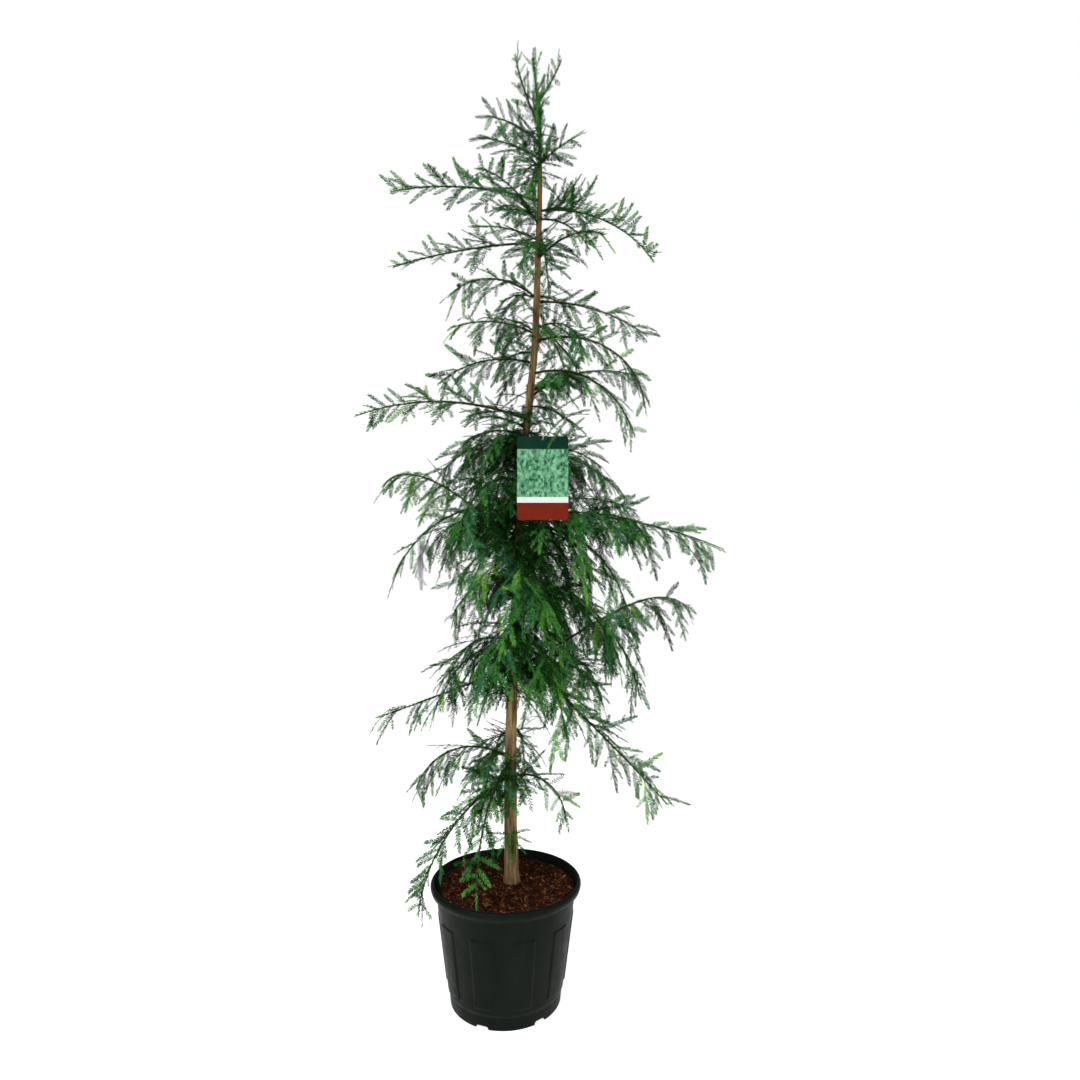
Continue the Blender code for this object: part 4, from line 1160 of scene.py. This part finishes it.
# %% Grow every tier
GREEN_STEMS_FROM = 2.1
FAMILIES_IN = {"top": ("leader", "open"), "belt_top": ("front",), "belt_middle": ("core",)}
crown_faces = 0
for tier_name, first_limb, last_limb in TIERS:
    tier = Tier()
    rng = np.random.default_rng(60 + first_limb)
    nodes = []
    for number in range(first_limb, last_limb):
        main = LIMBS[number]
        nodes.append("foliage_" + main.name)
        for k, limb in enumerate([main] + companions(number, main)):
            seed = number + 100 * k
            path = Path(limb)
            stem, radii = stem_tube(seed, limb, path)
            if k and not clear_of_everything(stem[None], 4)[0]:
                continue
            thick = limb.reach > BELT_REACH
            tier.grow(limb_shoots(seed, limb, path), rng, thick)
            tier.needles.append(scale_needles(seed, limb, path))
            brown = k == 0 and limb.height < GREEN_STEMS_FROM and not thick
            slot = TWIG_BARK if brown else TWIG_GREEN
            tier.add_line(stem[None], radii[None], path.side[None], slot)
    for family in FAMILIES_IN.get(tier_name, ()):
        tier.grow(from_trunk[family], rng, tier_name != "top")
    if tier_name == "top":
        tier.needles.append(leader_needles())
    if tier_name == "skirt":
        tier.grow(sprigs, rng, False, guarded=False)
    crown_faces += tier.pieces(tier_name, nodes)
print("triangles in the crown:", crown_faces)

# %% [markdown]
# ## Bark
# Redwood bark is fibrous: long shallow ridges that run up the stem, part and
# meet again, in cinnamon and grey-brown. A bump alone would leave the outline of
# the trunk smooth, so the relief is in the mesh: a fine tube whose radius is
# changed by noise that is drawn out along the trunk.

# %% Trunk and bough bark
RIDGE_PITCH = 9.0
FINE_ACROSS = 2.3
FINE_ALONG = 4.0
RIDGE_MEAN = 0.35


def barky_tube(name, points, radii, sides, ridges, depth, material, seed, cap_flat=False):
    """A tube with lengthwise ridges worked into its surface."""
    rings = len(points)
    headings = unit(np.gradient(points, axis=0))
    wide = np.cross((0.0, 1.0, 0.0), headings)
    wide[np.linalg.norm(wide, axis=1) < 0.05] = (1.0, 0.0, 0.0)
    wide = square_to(headings, wide)
    deep = np.cross(headings, wide)
    walked = np.concatenate(((0.0,), np.cumsum(np.linalg.norm(np.diff(points, axis=0), axis=1))))
    turn = 2 * np.pi * np.arange(sides) / sides
    rough = np.empty((rings, sides))
    for i in range(rings):
        for k in range(sides):
            spot = Vector((
                math.cos(turn[k]) * ridges + seed,
                math.sin(turn[k]) * ridges,
                walked[i] * RIDGE_PITCH,
            ))
            fine = Vector((spot.x * FINE_ACROSS, spot.y * FINE_ACROSS, spot.z * FINE_ALONG))
            rough[i, k] = abs(noise.noise(spot)) * 1.5 + 0.45 * noise.noise(fine)
    swell = 1.0 + depth * (rough - RIDGE_MEAN)
    spoke = np.cos(turn)[None, :, None] * wide[:, None, :] + np.sin(turn)[None, :, None] * deep[:, None, :]
    skin = points[:, None, :] + (radii[:, None] * swell)[:, :, None] * spoke
    if cap_flat:
        skin[0, :, 2] = points[0, 2]
    ring = np.arange(sides)
    after = (ring + 1) % sides
    last = (rings - 1) * sides
    middles = (rings * sides, rings * sides + 1)
    foot = np.column_stack((np.full(sides, middles[0]), after, ring))
    head = np.column_stack((np.full(sides, middles[1]), last + ring, last + after))
    faces = np.vstack((ring_skin(rings, sides), foot, head))
    return mesh_piece(name, np.vstack((skin.reshape(-1, 3), points[[0, -1]])), faces, [material])


# %% Trunk
FLARE_TOP = 0.36
FLARE_RINGS = 15
TRUNK_RINGS = 380
SMOOTHING = 9
bark = finish("redwood_bark", (0.045, 0.030, 0.012), (0.330, 0.222, 0.104), 85.0, 0.9,
              stretch=(1, 1, 0.11), edge=0.12, bump=0.0014, bump_scale=260.0, specular=0.08)
lay_over(bark, (0.100, 0.050, 0.021), 1.35, 2.50)
lay_over(bark, (0.050, 0.095, 0.022), 2.24, 2.31)

flare_heights = np.linspace(GROUND, FLARE_TOP, FLARE_RINGS + 1)[:-1]
trunk_heights = np.concatenate((flare_heights, np.linspace(FLARE_TOP, TRUNK_TOP, TRUNK_RINGS)))
padded_x = np.pad(trunk_x(trunk_heights), SMOOTHING // 2, mode="edge")
soft_x = np.convolve(padded_x, np.ones(SMOOTHING) / SMOOTHING, mode="valid")
trunk_points = np.column_stack((soft_x, np.zeros_like(trunk_heights), trunk_heights))
trunk = barky_tube(
    "trunk_bark", trunk_points, trunk_radius(trunk_heights),
    sides=44, ridges=3.4, depth=0.17, material=bark, seed=3.0, cap_flat=True
)
finish_piece(trunk, ("trunk",))

# %% Boughs
BOUGH_RING = 0.004
COLLAR_SWELL = 0.55
COLLAR_LENGTH = 0.014
bough_bark = finish("bough_bark", (0.012, 0.014, 0.005), (0.050, 0.042, 0.016), 70.0, 0.85,
                    stretch=(0.5, 0.5, 0.5), edge=0.15, bump=0.0006, bump_scale=380.0, specular=0.10)
for number, limb in enumerate(LIMBS):
    if not limb.bare:
        continue
    share, points = limb_line(PATHS[number], 0.0, limb.bare, limb.length, BOUGH_RING)
    walked = np.linspace(0, 1, len(points)) * limb.bare * limb.length
    radii = limb_radius(limb, share) * (1.0 + COLLAR_SWELL * np.exp(-walked / COLLAR_LENGTH))
    piece = barky_tube(
        "bough_skin_" + limb.name, points, radii,
        sides=16, ridges=1.8, depth=0.16, material=bough_bark, seed=number * 2.0
    )
    finish_piece(piece, ("bough_" + limb.name,))


# %% [markdown]
# ## The pot
# The pot is blown or moulded from thin plastic: a wall that leans out, ten
# raised panels with soft edges, a foot that steps in, a rolled lip and notches
# in the foot for drainage. One grid wrapped round the axis gives all of it,
# with the panels added as a rise that fades at their edges. Turning a profile
# with the Screw modifier would be quicker, but it can't make the panels.

# %% Pot profile
PANELS = 10
PANEL_STEP = 360.0 / PANELS
PANEL_SPAN = 18.0
PANEL_SIDE = 0.75
PANEL_SLOPE = 0.004
PANEL_GAP_AT = 270.0
PANEL_RISE = 0.0025
PANEL_FOOT = 0.052
PANEL_HEAD = 0.231
WALL = 0.0025
FLOOR = 0.004
FOOT_RADIUS = 0.1490
FOOT_TOP = 0.034
STEP_IN = 0.0030
NECK_Z = 0.283
NECK_RADIUS = 0.1895
LIP_RADIUS = 0.2050
LIP_UNDER = 0.287
RIM_Z = 0.311
RIM_INNER = 0.1950
POT_COLUMNS = 360


def wall_radius(z):
    """Radius of the leaning wall at this height."""
    share = (z - FOOT_TOP) / (NECK_Z - FOOT_TOP)
    return FOOT_RADIUS + 2 * STEP_IN + (NECK_RADIUS - FOOT_RADIUS - 2 * STEP_IN) * share


def arc(centre, radius, start, end, count):
    """Points of an arc in the profile, as (radius, height)."""
    turn = np.radians(np.linspace(start, end, count))
    return [(centre[0] + radius[0] * math.cos(a), centre[1] + radius[1] * math.sin(a)) for a in turn]


def pot_profile():
    """From the middle of the underside, up the outside, over the lip and in."""
    line = [(0.0, 0.0005), (0.090, 0.0005), (0.136, 0.0)]
    line += [(FOOT_RADIUS - 0.002, 0.0), (FOOT_RADIUS, 0.0015)]
    line += [(FOOT_RADIUS + STEP_IN * z / FOOT_TOP, z) for z in (0.008, 0.016, 0.024, 0.031)]
    line += [(FOOT_RADIUS + STEP_IN, FOOT_TOP), (FOOT_RADIUS + STEP_IN + 0.0012, FOOT_TOP + 0.0025)]
    heights = [0.0400, 0.0440, 0.0480, 0.0510, 0.0520, 0.0532, 0.0545, 0.0560, 0.0580]
    heights += list(np.linspace(0.066, 0.220, 14))
    heights += [0.2250, 0.2268, 0.2282, 0.2296, 0.2310, 0.2330, 0.2450, 0.2600, 0.2720, 0.2800]
    line += [(wall_radius(z), z) for z in heights]
    line += [(NECK_RADIUS + 0.0006, NECK_Z), (NECK_RADIUS + 0.0040, LIP_UNDER - 0.0008)]
    line += [(LIP_RADIUS - 0.0070, LIP_UNDER), (LIP_RADIUS - 0.0030, LIP_UNDER + 0.0030)]
    line += arc((LIP_RADIUS - 0.0080, RIM_Z - 0.0100), (0.0080, 0.0100), -25, 90, 10)
    line += [(RIM_INNER + 0.0008, RIM_Z - 0.0002), (RIM_INNER, RIM_Z - 0.0015)]
    line += [(NECK_RADIUS - WALL + 0.003, LIP_UNDER + 0.006), (NECK_RADIUS - WALL, LIP_UNDER - 0.001)]
    line += [(NECK_RADIUS - WALL - 0.004, 0.262), (FOOT_RADIUS - WALL + 0.02, 0.12)]
    line += [(FOOT_RADIUS - WALL, FLOOR), (0.0, FLOOR)]
    return line


def smooth_step(value, low, high):
    """From nought to one between two values, with soft ends."""
    part = np.clip((value - low) / (high - low), 0, 1)
    return part * part * (3 - 2 * part)


def panel_rise(azimuth, z):
    """How far the wall stands out for its panels, with soft edges."""
    half_step = PANEL_STEP / 2
    from_gap = np.abs((azimuth - PANEL_GAP_AT + half_step) % PANEL_STEP - half_step)
    off = half_step - from_gap
    side = 1 - smooth_step(off, PANEL_SPAN / 2 - PANEL_SIDE, PANEL_SPAN / 2)
    foot = smooth_step(z, PANEL_FOOT, PANEL_FOOT + PANEL_SLOPE)
    head = 1 - smooth_step(z, PANEL_HEAD - PANEL_SLOPE, PANEL_HEAD)
    return PANEL_RISE * side * foot * head


def join_rings(bm, low, high):
    """Faces from one ring of vertices to the next, or a fan to a single vertex."""
    count = max(len(low), len(high))
    for i in range(count):
        j = (i + 1) % count
        if len(low) == 1:
            bm.faces.new((low[0], high[j], high[i]))
        elif len(high) == 1:
            bm.faces.new((low[i], low[j], high[0]))
        else:
            bm.faces.new((low[i], low[j], high[j], high[i]))


# %% Pot mesh
profile = pot_profile()
print("points in the pot's profile:", len(profile))
outside = next(i for i, (_, z) in enumerate(profile) if z >= RIM_Z - 0.0001)
azimuths = np.arange(POT_COLUMNS) * 360.0 / POT_COLUMNS
bm = bmesh.new()
rings = []
for index, (radius, z) in enumerate(profile):
    if radius == 0.0:
        rings.append([bm.verts.new((0, 0, z))])
        continue
    reach = radius + (panel_rise(azimuths, z) if index < outside else np.zeros(POT_COLUMNS))
    turn = np.radians(azimuths)
    rings.append([bm.verts.new((r * math.cos(a), r * math.sin(a), z)) for r, a in zip(reach, turn)])
for low, high in zip(rings, rings[1:]):
    join_rings(bm, low, high)
pot = from_bmesh("pot_shell", bm)
print("pot shell faces:", len(pot.data.polygons))

# %% [markdown]
# ### Drain notches
# The notches are cut with a Boolean, one cutter for all six, because their
# round-cornered shape crosses the grid of the shell. The cutter is removed once
# the cut has been applied.

# %% Drain notches
NOTCHES = 6
NOTCH_FIRST = 249.0
NOTCH_HALF = 0.018
NOTCH_LEAN = 0.001
NOTCH_BELOW = -0.004
NOTCH_SHOULDER = 0.006
NOTCH_ARCH = (0.0155, 0.0060)
NOTCH_ARCH_Z = 0.0068
NOTCH_FROM = 0.1372
NOTCH_TO = 0.170
SHARP_EDGE = math.radians(42)


def evaluated_mesh(piece):
    """The mesh of the object as its modifiers or its curve make it."""
    depsgraph = bpy.context.evaluated_depsgraph_get()
    return bpy.data.meshes.new_from_object(piece.evaluated_get(depsgraph))


def cut_out(piece, cutter):
    """Take the cutter's shape out of the piece, and remove the cutter."""
    cut = piece.modifiers.new("cut", "BOOLEAN")
    cut.operation = "DIFFERENCE"
    cut.solver = "EXACT"
    cut.object = cutter
    mesh = evaluated_mesh(piece)
    piece.modifiers.clear()
    piece.data = mesh
    bpy.data.objects.remove(cutter)


outline = [(-NOTCH_HALF, NOTCH_BELOW), (-NOTCH_HALF + NOTCH_LEAN, NOTCH_SHOULDER)]
outline += arc((0.0, NOTCH_ARCH_Z), NOTCH_ARCH, 170, 10, 9)
outline += [(NOTCH_HALF - NOTCH_LEAN, NOTCH_SHOULDER), (NOTCH_HALF, NOTCH_BELOW)]
bm = bmesh.new()
for i in range(NOTCHES):
    angle = math.radians(NOTCH_FIRST + 360.0 * i / NOTCHES)
    out = Vector((math.cos(angle), math.sin(angle), 0))
    side = Vector((-math.sin(angle), math.cos(angle), 0))
    near, far = (
        [bm.verts.new(out * reach + side * s + Vector((0, 0, z))) for s, z in outline]
        for reach in (NOTCH_FROM, NOTCH_TO)
    )
    join_rings(bm, near, far)
    bm.faces.new(near[::-1])
    bm.faces.new(far)
bmesh.ops.recalc_face_normals(bm, faces=bm.faces[:])
cut_out(pot, from_bmesh("notch_cutter", bm))
pot.data.shade_smooth()
pot.data.set_sharp_from_angle(angle=SHARP_EDGE)
print("pot after the cut:", len(pot.data.polygons), "faces")

# %% [markdown]
# ### Moulded plastic
# The plastic is nearly black with a green cast, and neither quite matt nor quite
# shiny: its gloss changes in soft patches, where hands and water have been. So a
# second drift group, of two greys, feeds the roughness.

# %% Pot finish
pot_plastic = finish("pot_plastic", (0.0028, 0.0050, 0.0035), (0.0060, 0.0090, 0.0066), 16.0, 0.42,
                     stretch=(1, 1, 0.35), edge=0.22, bump=0.00035, bump_scale=700.0, specular=0.05)
pot_tree = pot_plastic.node_tree
gloss = place_group(pot_tree, drift, {
    "First": (0.34, 0.34, 0.34, 1),
    "Second": (0.56, 0.56, 0.56, 1),
    "Scale": 38.0,
    "Edge": 0.25,
})
wire(pot_tree, (gloss.outputs["Colour"], pot_tree.nodes["Principled BSDF"].inputs["Roughness"]))
paint(pot, [pot_plastic])
finish_piece(pot, ("pot",))

# %% [markdown]
# ## Mulch
# The pot is topped with shredded bark: a lumpy bed, and on it thousands of thin
# bent fibres, and chips that point every way, one of them large and some pale.
# The bed is a displaced grid, the fibres are small tubes and the chips are
# lopsided lumps with eight faces.

# %% Bed of the mulch
BED_LEVEL = 0.2925
BED_TOP = 0.3040
BED_UNDER = 0.262
BED_SLOPE = 0.014
BED_RINGS = 46
BED_COLUMNS = 120
LUMP_SCALE = 22
LUMP_HEIGHT = 0.0042
MOUND_HEIGHT = 0.0040
MOUND_REACH = 0.06
bed_edge = NECK_RADIUS - WALL - 0.0006


def bed_height(x, y):
    """Height of the bed at one place, a little lower at the back."""
    away = math.hypot(x - float(trunk_x(GROUND)), y)
    lumps = noise.fractal(Vector((x * LUMP_SCALE, y * LUMP_SCALE, 3.0)), 0.9, 2.0, 4)
    level = BED_LEVEL - BED_SLOPE * max(y, 0) + LUMP_HEIGHT * lumps
    mound = MOUND_HEIGHT * math.exp(-(away / MOUND_REACH) ** 2)
    return min(level + mound, BED_TOP)


bm = bmesh.new()
middle = bm.verts.new((0, 0, bed_height(0, 0)))
rings = []
for i in range(1, BED_RINGS + 1):
    reach = bed_edge * i / BED_RINGS
    ring = []
    for k in range(BED_COLUMNS):
        a = 2 * math.pi * k / BED_COLUMNS
        x, y = reach * math.cos(a), reach * math.sin(a)
        ring.append(bm.verts.new((x, y, bed_height(x, y))))
    rings.append(ring)
rings.append([bm.verts.new((vert.co.x * 0.97, vert.co.y * 0.97, BED_UNDER)) for vert in rings[-1]])
under = bm.verts.new((0, 0, BED_UNDER))
for k in range(BED_COLUMNS):
    n = (k + 1) % BED_COLUMNS
    bm.faces.new((middle, rings[0][k], rings[0][n]))
    bm.faces.new((under, rings[-1][n], rings[-1][k]))
    for inner, outer in zip(rings, rings[1:]):
        bm.faces.new((inner[k], outer[k], outer[n], inner[n]))
bed = from_bmesh("mulch_bed", bm)
bed.data.shade_smooth()
paint(bed, [finish("mulch_dark", (0.004, 0.0015, 0.0008), (0.020, 0.006, 0.0025), 120.0, 0.95,
                   edge=0.12, bump=0.002, bump_scale=320.0, specular=0.15)])
finish_piece(bed, ("soil",))

# %% Fibres and chips
FIBRES = 4600
CHIPS = 1500
CHUNK_PLACE = (-0.128, 0.112, 0.300)
CHUNK_SIZE = 0.017
TRUNK_FREE = 0.025
FIBRE_LOW = 0.280
FIBRE_HIGH = 0.3085
mulch_finishes = [
    finish("mulch_umber", (0.012, 0.0022, 0.0006), (0.040, 0.0090, 0.0026), 150.0, 0.9, specular=0.1),
    finish("mulch_rust", (0.060, 0.013, 0.0032), (0.125, 0.033, 0.0095), 150.0, 0.9, specular=0.1),
    finish("mulch_tan", (0.160, 0.062, 0.021), (0.310, 0.145, 0.058), 150.0, 0.85, specular=0.15),
]


def bed_places(rng, count):
    """Places on the bed, evenly spread, and clear of the trunk."""
    reach = (bed_edge - 0.010) * np.sqrt(rng.uniform(0, 1, count * 2))
    turn = rng.uniform(0, 2 * np.pi, count * 2)
    x, y = reach * np.cos(turn), reach * np.sin(turn)
    free = np.hypot(x - float(trunk_x(GROUND)), y) > TRUNK_FREE
    x, y = x[free][:count], y[free][:count]
    z = np.array([bed_height(a, b) for a, b in zip(x, y)])
    return np.column_stack((x, y, z))


def keep_inside(points, margin):
    """Draw in whatever would pass the pot's inner wall."""
    out = np.hypot(points[:, :, 0], points[:, :, 1])
    points[:, :, :2] *= np.minimum(1.0, (bed_edge - margin) / np.maximum(out, 1e-6))[:, :, None]


def mulch_fibres():
    """Thin bent tubes that lie on the bed every way."""
    rng = np.random.default_rng(21)
    start = bed_places(rng, FIBRES)
    turn = rng.uniform(0, 2 * np.pi, FIBRES)
    tilt = rng.normal(0.05, 0.30, FIBRES)
    heading = np.column_stack((np.cos(turn) * np.cos(tilt), np.sin(turn) * np.cos(tilt), np.sin(tilt)))
    length = rng.gamma(3.0, 0.0032, FIBRES).clip(0.004, 0.026)
    bend = rng.normal(0, 0.16, (FIBRES, 3)) * length[:, None]
    half = heading * length[:, None] / 2
    line = np.stack((start - half, start + bend, start + half), axis=1)
    line[:, :, 2] += rng.uniform(0.0002, 0.0035, FIBRES)[:, None]
    keep_inside(line, 0.003)
    line[:, :, 2] = line[:, :, 2].clip(FIBRE_LOW, FIBRE_HIGH)
    radii = rng.uniform(0.0004, 0.0011, FIBRES)[:, None] * np.array((0.6, 1.0, 0.35))
    across = rng.normal(0, 1, (FIBRES, 3))
    points, faces, each = tubes(line, radii, across, 3)
    slots = np.repeat(rng.choice(3, FIBRES, p=(0.50, 0.37, 0.13)), each)
    return points, faces, slots


def mulch_chips():
    """Lumps with six corners and eight faces, each stretched and turned its own way."""
    rng = np.random.default_rng(22)
    centre = bed_places(rng, CHIPS)
    size = rng.gamma(3.0, 0.0011, (CHIPS, 1, 1)).clip(0.0015, 0.008)
    centre[0] = CHUNK_PLACE
    size[0] = CHUNK_SIZE
    star = np.array(((1, 0, 0), (-1, 0, 0), (0, 1, 0), (0, -1, 0), (0, 0, 1), (0, 0, -1)), float)
    shape = star * np.array((1.0, 0.6, 0.35)) + rng.uniform(-0.22, 0.22, (CHIPS, 6, 3))
    frames = np.linalg.qr(rng.normal(0, 1, (CHIPS, 3, 3)))[0]
    points = centre[:, None, :] + size * np.einsum("nij,nkj->nki", frames, shape)
    points[:, :, 2] += 0.0012
    keep_inside(points, 0.002)
    upper = ((0, 2, 4), (2, 1, 4), (1, 3, 4), (3, 0, 4))
    lower = ((2, 0, 5), (1, 2, 5), (3, 1, 5), (0, 3, 5))
    faces = np.array(upper + lower)[None] + (np.arange(CHIPS) * 6)[:, None, None]
    slots = np.repeat(rng.choice(3, CHIPS, p=(0.48, 0.37, 0.15)), 8)
    return points.reshape(-1, 3), faces.reshape(-1, 3), slots


for name, (points, faces, slots) in (("mulch_fibres", mulch_fibres()), ("mulch_chips", mulch_chips())):
    finish_piece(mesh_piece(name, points, faces, mulch_finishes, slots, smooth=False))


# %% [markdown]
# ## The hanging card
# The plant carries a printed card on a thin loop. It is made as a thin rounded
# plate with a punched hole, cut across into four bands: a dark teal head, a
# leafy green field, a white strip and a brick-red foot. The green field is only
# a drift of pale and deep greens, and the bands are left without words.

# %% Card
CARD_CORNER = 0.006
CARD_HOLE = 0.0040
CARD_HOLE_DROP = 0.0080
BANDS = (0.846, 0.272, 0.205)


def card_outline(inset):
    """The rounded outline, as sideways place and height about the centre."""
    half_x = CARD_SIZE[0] / 2 - CARD_CORNER
    half_z = CARD_SIZE[2] / 2 - CARD_CORNER
    corner = CARD_CORNER - inset
    line = []
    for quarter, (sx, sz) in enumerate(((1, 1), (-1, 1), (-1, -1), (1, -1))):
        for a in np.radians(90 * quarter + np.linspace(0, 90, 9)):
            line.append((sx * half_x + corner * math.cos(a), sz * half_z + corner * math.sin(a)))
    return line


bm = bmesh.new()
rings = []
for inset, y in ((0.0002, -0.5), (0.0, -0.36), (0.0, 0.36), (0.0002, 0.5)):
    rings.append([bm.verts.new((x, y * CARD_SIZE[1], z)) for x, z in card_outline(inset)])
for low, high in zip(rings, rings[1:]):
    join_rings(bm, low, high)
bm.faces.new(rings[0][::-1])
bm.faces.new(rings[-1])
for share in BANDS:
    bmesh.ops.bisect_plane(
        bm, geom=bm.verts[:] + bm.edges[:] + bm.faces[:],
        plane_co=(0, 0, (share - 0.5) * CARD_SIZE[2]), plane_no=(0, 0, 1)
    )
bmesh.ops.recalc_face_normals(bm, faces=bm.faces[:])
card = from_bmesh("card_plate", bm)

bm = bmesh.new()
bmesh.ops.create_cone(bm, cap_ends=True, segments=32, radius1=CARD_HOLE, radius2=CARD_HOLE, depth=0.02)
punch = from_bmesh("card_punch", bm)
punch.rotation_euler = (math.radians(90), 0, 0)
punch.location = (0, 0, CARD_SIZE[2] / 2 - CARD_HOLE_DROP)
bpy.context.view_layer.update()
cut_out(card, punch)
card.data.transform(Matrix.Translation(Vector(CARD_CENTRE)))
print("card faces:", len(card.data.polygons))

# %% [markdown]
# ### Print on the card
# The bands are told apart by height: a face takes the finish of the band that its
# middle lies in. That keeps one mesh and needs no picture.

# %% Card print
card_prints = [
    finish("print_foot", (0.122, 0.010, 0.003), (0.142, 0.014, 0.005), 40.0, 0.5, specular=0.06),
    finish("print_strip", (0.560, 0.580, 0.545), (0.610, 0.630, 0.595), 40.0, 0.5, specular=0.06),
    finish("print_field", (0.005, 0.050, 0.022), (0.170, 0.420, 0.240), 130.0, 0.5,
           stretch=(1.0, 1.0, 0.7), edge=0.16, specular=0.06),
    finish("print_head", (0.001, 0.019, 0.011), (0.002, 0.025, 0.016), 40.0, 0.5, specular=0.06),
]
paint(card, card_prints)
for polygon in card.data.polygons:
    share = (polygon.center.z - CARD_CENTRE[2]) / CARD_SIZE[2] + 0.5
    polygon.material_index = sum(1 for edge in BANDS if share > edge)
print("card bands used:", sorted({polygon.material_index for polygon in card.data.polygons}))
finish_piece(card, ("plant_label",))

# %% [markdown]
# ### The loop
# The card hangs from a thin plastic ring that goes round the trunk and through
# the hole. Its path is an ellipse that lies flat at the trunk and stands upright
# at the card. A curve with a round bevel follows that path without any seams.

# %% Loop
LOOP_HEIGHT = 1.512
LOOP_TUBE = 0.0011
LOOP_POINTS = 120
LOOP_BEHIND = 0.008
LOOP_BEFORE = 0.006
LOOP_BELOW_EDGE = 0.0030
LOOP_HALF_WIDTH = 0.027
LOOP_HALF_RISE = 0.0120
trunk_spot = np.array((float(trunk_x(LOOP_HEIGHT)), 0.0, LOOP_HEIGHT))
card_spot = CARD_CENTRE + np.array((0, 0, CARD_SIZE[2] / 2 - LOOP_BELOW_EDGE))
line = unit((card_spot - trunk_spot) * np.array((1.0, 1.0, 0.0)))
start = trunk_spot - line * (float(trunk_radius(LOOP_HEIGHT)) + LOOP_BEHIND)
end = card_spot + line * LOOP_BEFORE
sideways = np.array((-line[1], line[0], 0.0))
turn = 2 * np.pi * np.arange(LOOP_POINTS) / LOOP_POINTS
near_card = smooth_step((1 + np.cos(turn)) / 2, 0, 1)[:, None]
offset = (1 - near_card) * LOOP_HALF_WIDTH * sideways + near_card * np.array((0, 0, LOOP_HALF_RISE))
loop_points = (start + end) / 2 + np.cos(turn)[:, None] * (end - start) / 2 + np.sin(turn)[:, None] * offset
loop_curve = bpy.data.curves.new("card_loop", "CURVE")
loop_curve.dimensions = "3D"
spline = loop_curve.splines.new("POLY")
spline.points.add(LOOP_POINTS - 1)
for spot, place in zip(spline.points, loop_points):
    spot.co = (*place, 1.0)
spline.use_cyclic_u = True
loop_curve.bevel_depth = LOOP_TUBE
loop_curve.bevel_resolution = 3
loop_shape = stand("card_loop_shape", loop_curve)
loop_mesh = evaluated_mesh(loop_shape)
bpy.data.objects.remove(loop_shape)
loop = stand("card_loop", loop_mesh)
paint(loop, [finish("loop_plastic", (0.42, 0.46, 0.42), (0.55, 0.58, 0.54), 90.0, 0.35)])
loop.data.shade_smooth()
finish_piece(loop, ("label_loop",))

# %% [markdown]
# ## Floor, light and camera
# The plant stands on a plain pale floor in an even white surround. Large soft
# lights from the front left and right keep the shadows open, as in a product
# picture. The camera stands at breast height, close, with a wide lens, which is
# why the pot is seen from above and the tip of the tree from below.

# %% Floor and lights
WHITE = (1.0, 1.0, 1.0, 1.0)
FLOOR_RADIUS = 9.0
FLOOR_GLOW = 0.66
SURROUND_LIGHT = 0.42
bm = bmesh.new()
bmesh.ops.create_circle(bm, cap_ends=True, segments=96, radius=FLOOR_RADIUS)
floor = from_bmesh("studio_floor", bm)
paper = finish("studio_paper", (0.90, 0.90, 0.90), (0.93, 0.93, 0.93), 2.0, 0.9, specular=0.0)
set_inputs(
    paper.node_tree.nodes["Principled BSDF"], {"Emission Color": WHITE, "Emission Strength": FLOOR_GLOW}
)
paint(floor, [paper])

world = bpy.data.worlds.new("studio")
world.use_nodes = True
sky = world.node_tree
surround = set_inputs(sky.nodes["Background"], {"Color": WHITE, "Strength": SURROUND_LIGHT})
backdrop = set_inputs(sky.nodes.new("ShaderNodeBackground"), {"Color": WHITE, "Strength": 1.0})
ray = sky.nodes.new("ShaderNodeLightPath")
either = sky.nodes.new("ShaderNodeMixShader")
wire(
    sky,
    (ray.outputs["Is Camera Ray"], either.inputs["Fac"]),
    (surround.outputs[0], either.inputs[1]),
    (backdrop.outputs[0], either.inputs[2]),
    (either.outputs[0], sky.nodes["World Output"].inputs["Surface"]),
)
bpy.context.scene.world = world


def soft_light(name, place, target, size, power, colour):
    """A square lamp that is aimed at one place."""
    data = bpy.data.lights.new(name, "AREA")
    data.shape = "SQUARE"
    data.size = size
    data.energy = power
    data.color = colour
    light = stand(name, data)
    light.location = place
    aim = Vector(target) - Vector(place)
    light.rotation_euler = aim.to_track_quat("-Z", "Y").to_euler()


soft_light("light_front_left", (-1.9, -2.6, 3.1), (0.0, 0.0, 1.3), 1.6, 95.0, (1.0, 0.99, 0.97))
soft_light("light_front_right", (2.3, -2.2, 2.4), (0.0, 0.0, 1.2), 1.6, 45.0, (1.0, 0.98, 0.96))
print("lights set")

# %% Camera
CAMERA_PLACE = (0.093, -1.888, 1.131)
FOCAL_PIXELS = 669.8
IMAGE_PIXELS = 1080
CAMERA_PITCH = 3.25
SENSOR_WIDTH = 36.0
camera_data = bpy.data.cameras.new("camera")
camera_data.sensor_width = SENSOR_WIDTH
camera_data.lens = FOCAL_PIXELS / IMAGE_PIXELS * SENSOR_WIDTH
camera = stand("camera", camera_data)
camera.location = CAMERA_PLACE
camera.rotation_euler = (math.radians(90 + CAMERA_PITCH), 0, 0)
bpy.context.scene.camera = camera
bpy.context.scene.view_settings.view_transform = "Standard"
print("lens", round(camera_data.lens, 2), "mm")

# %% [markdown]
# ## Sizes and the end
# The box of the solids is printed at the end.

# %% Finish
print("solids ", [round(v, 3) for v in cad_low], [round(v, 3) for v in cad_high])
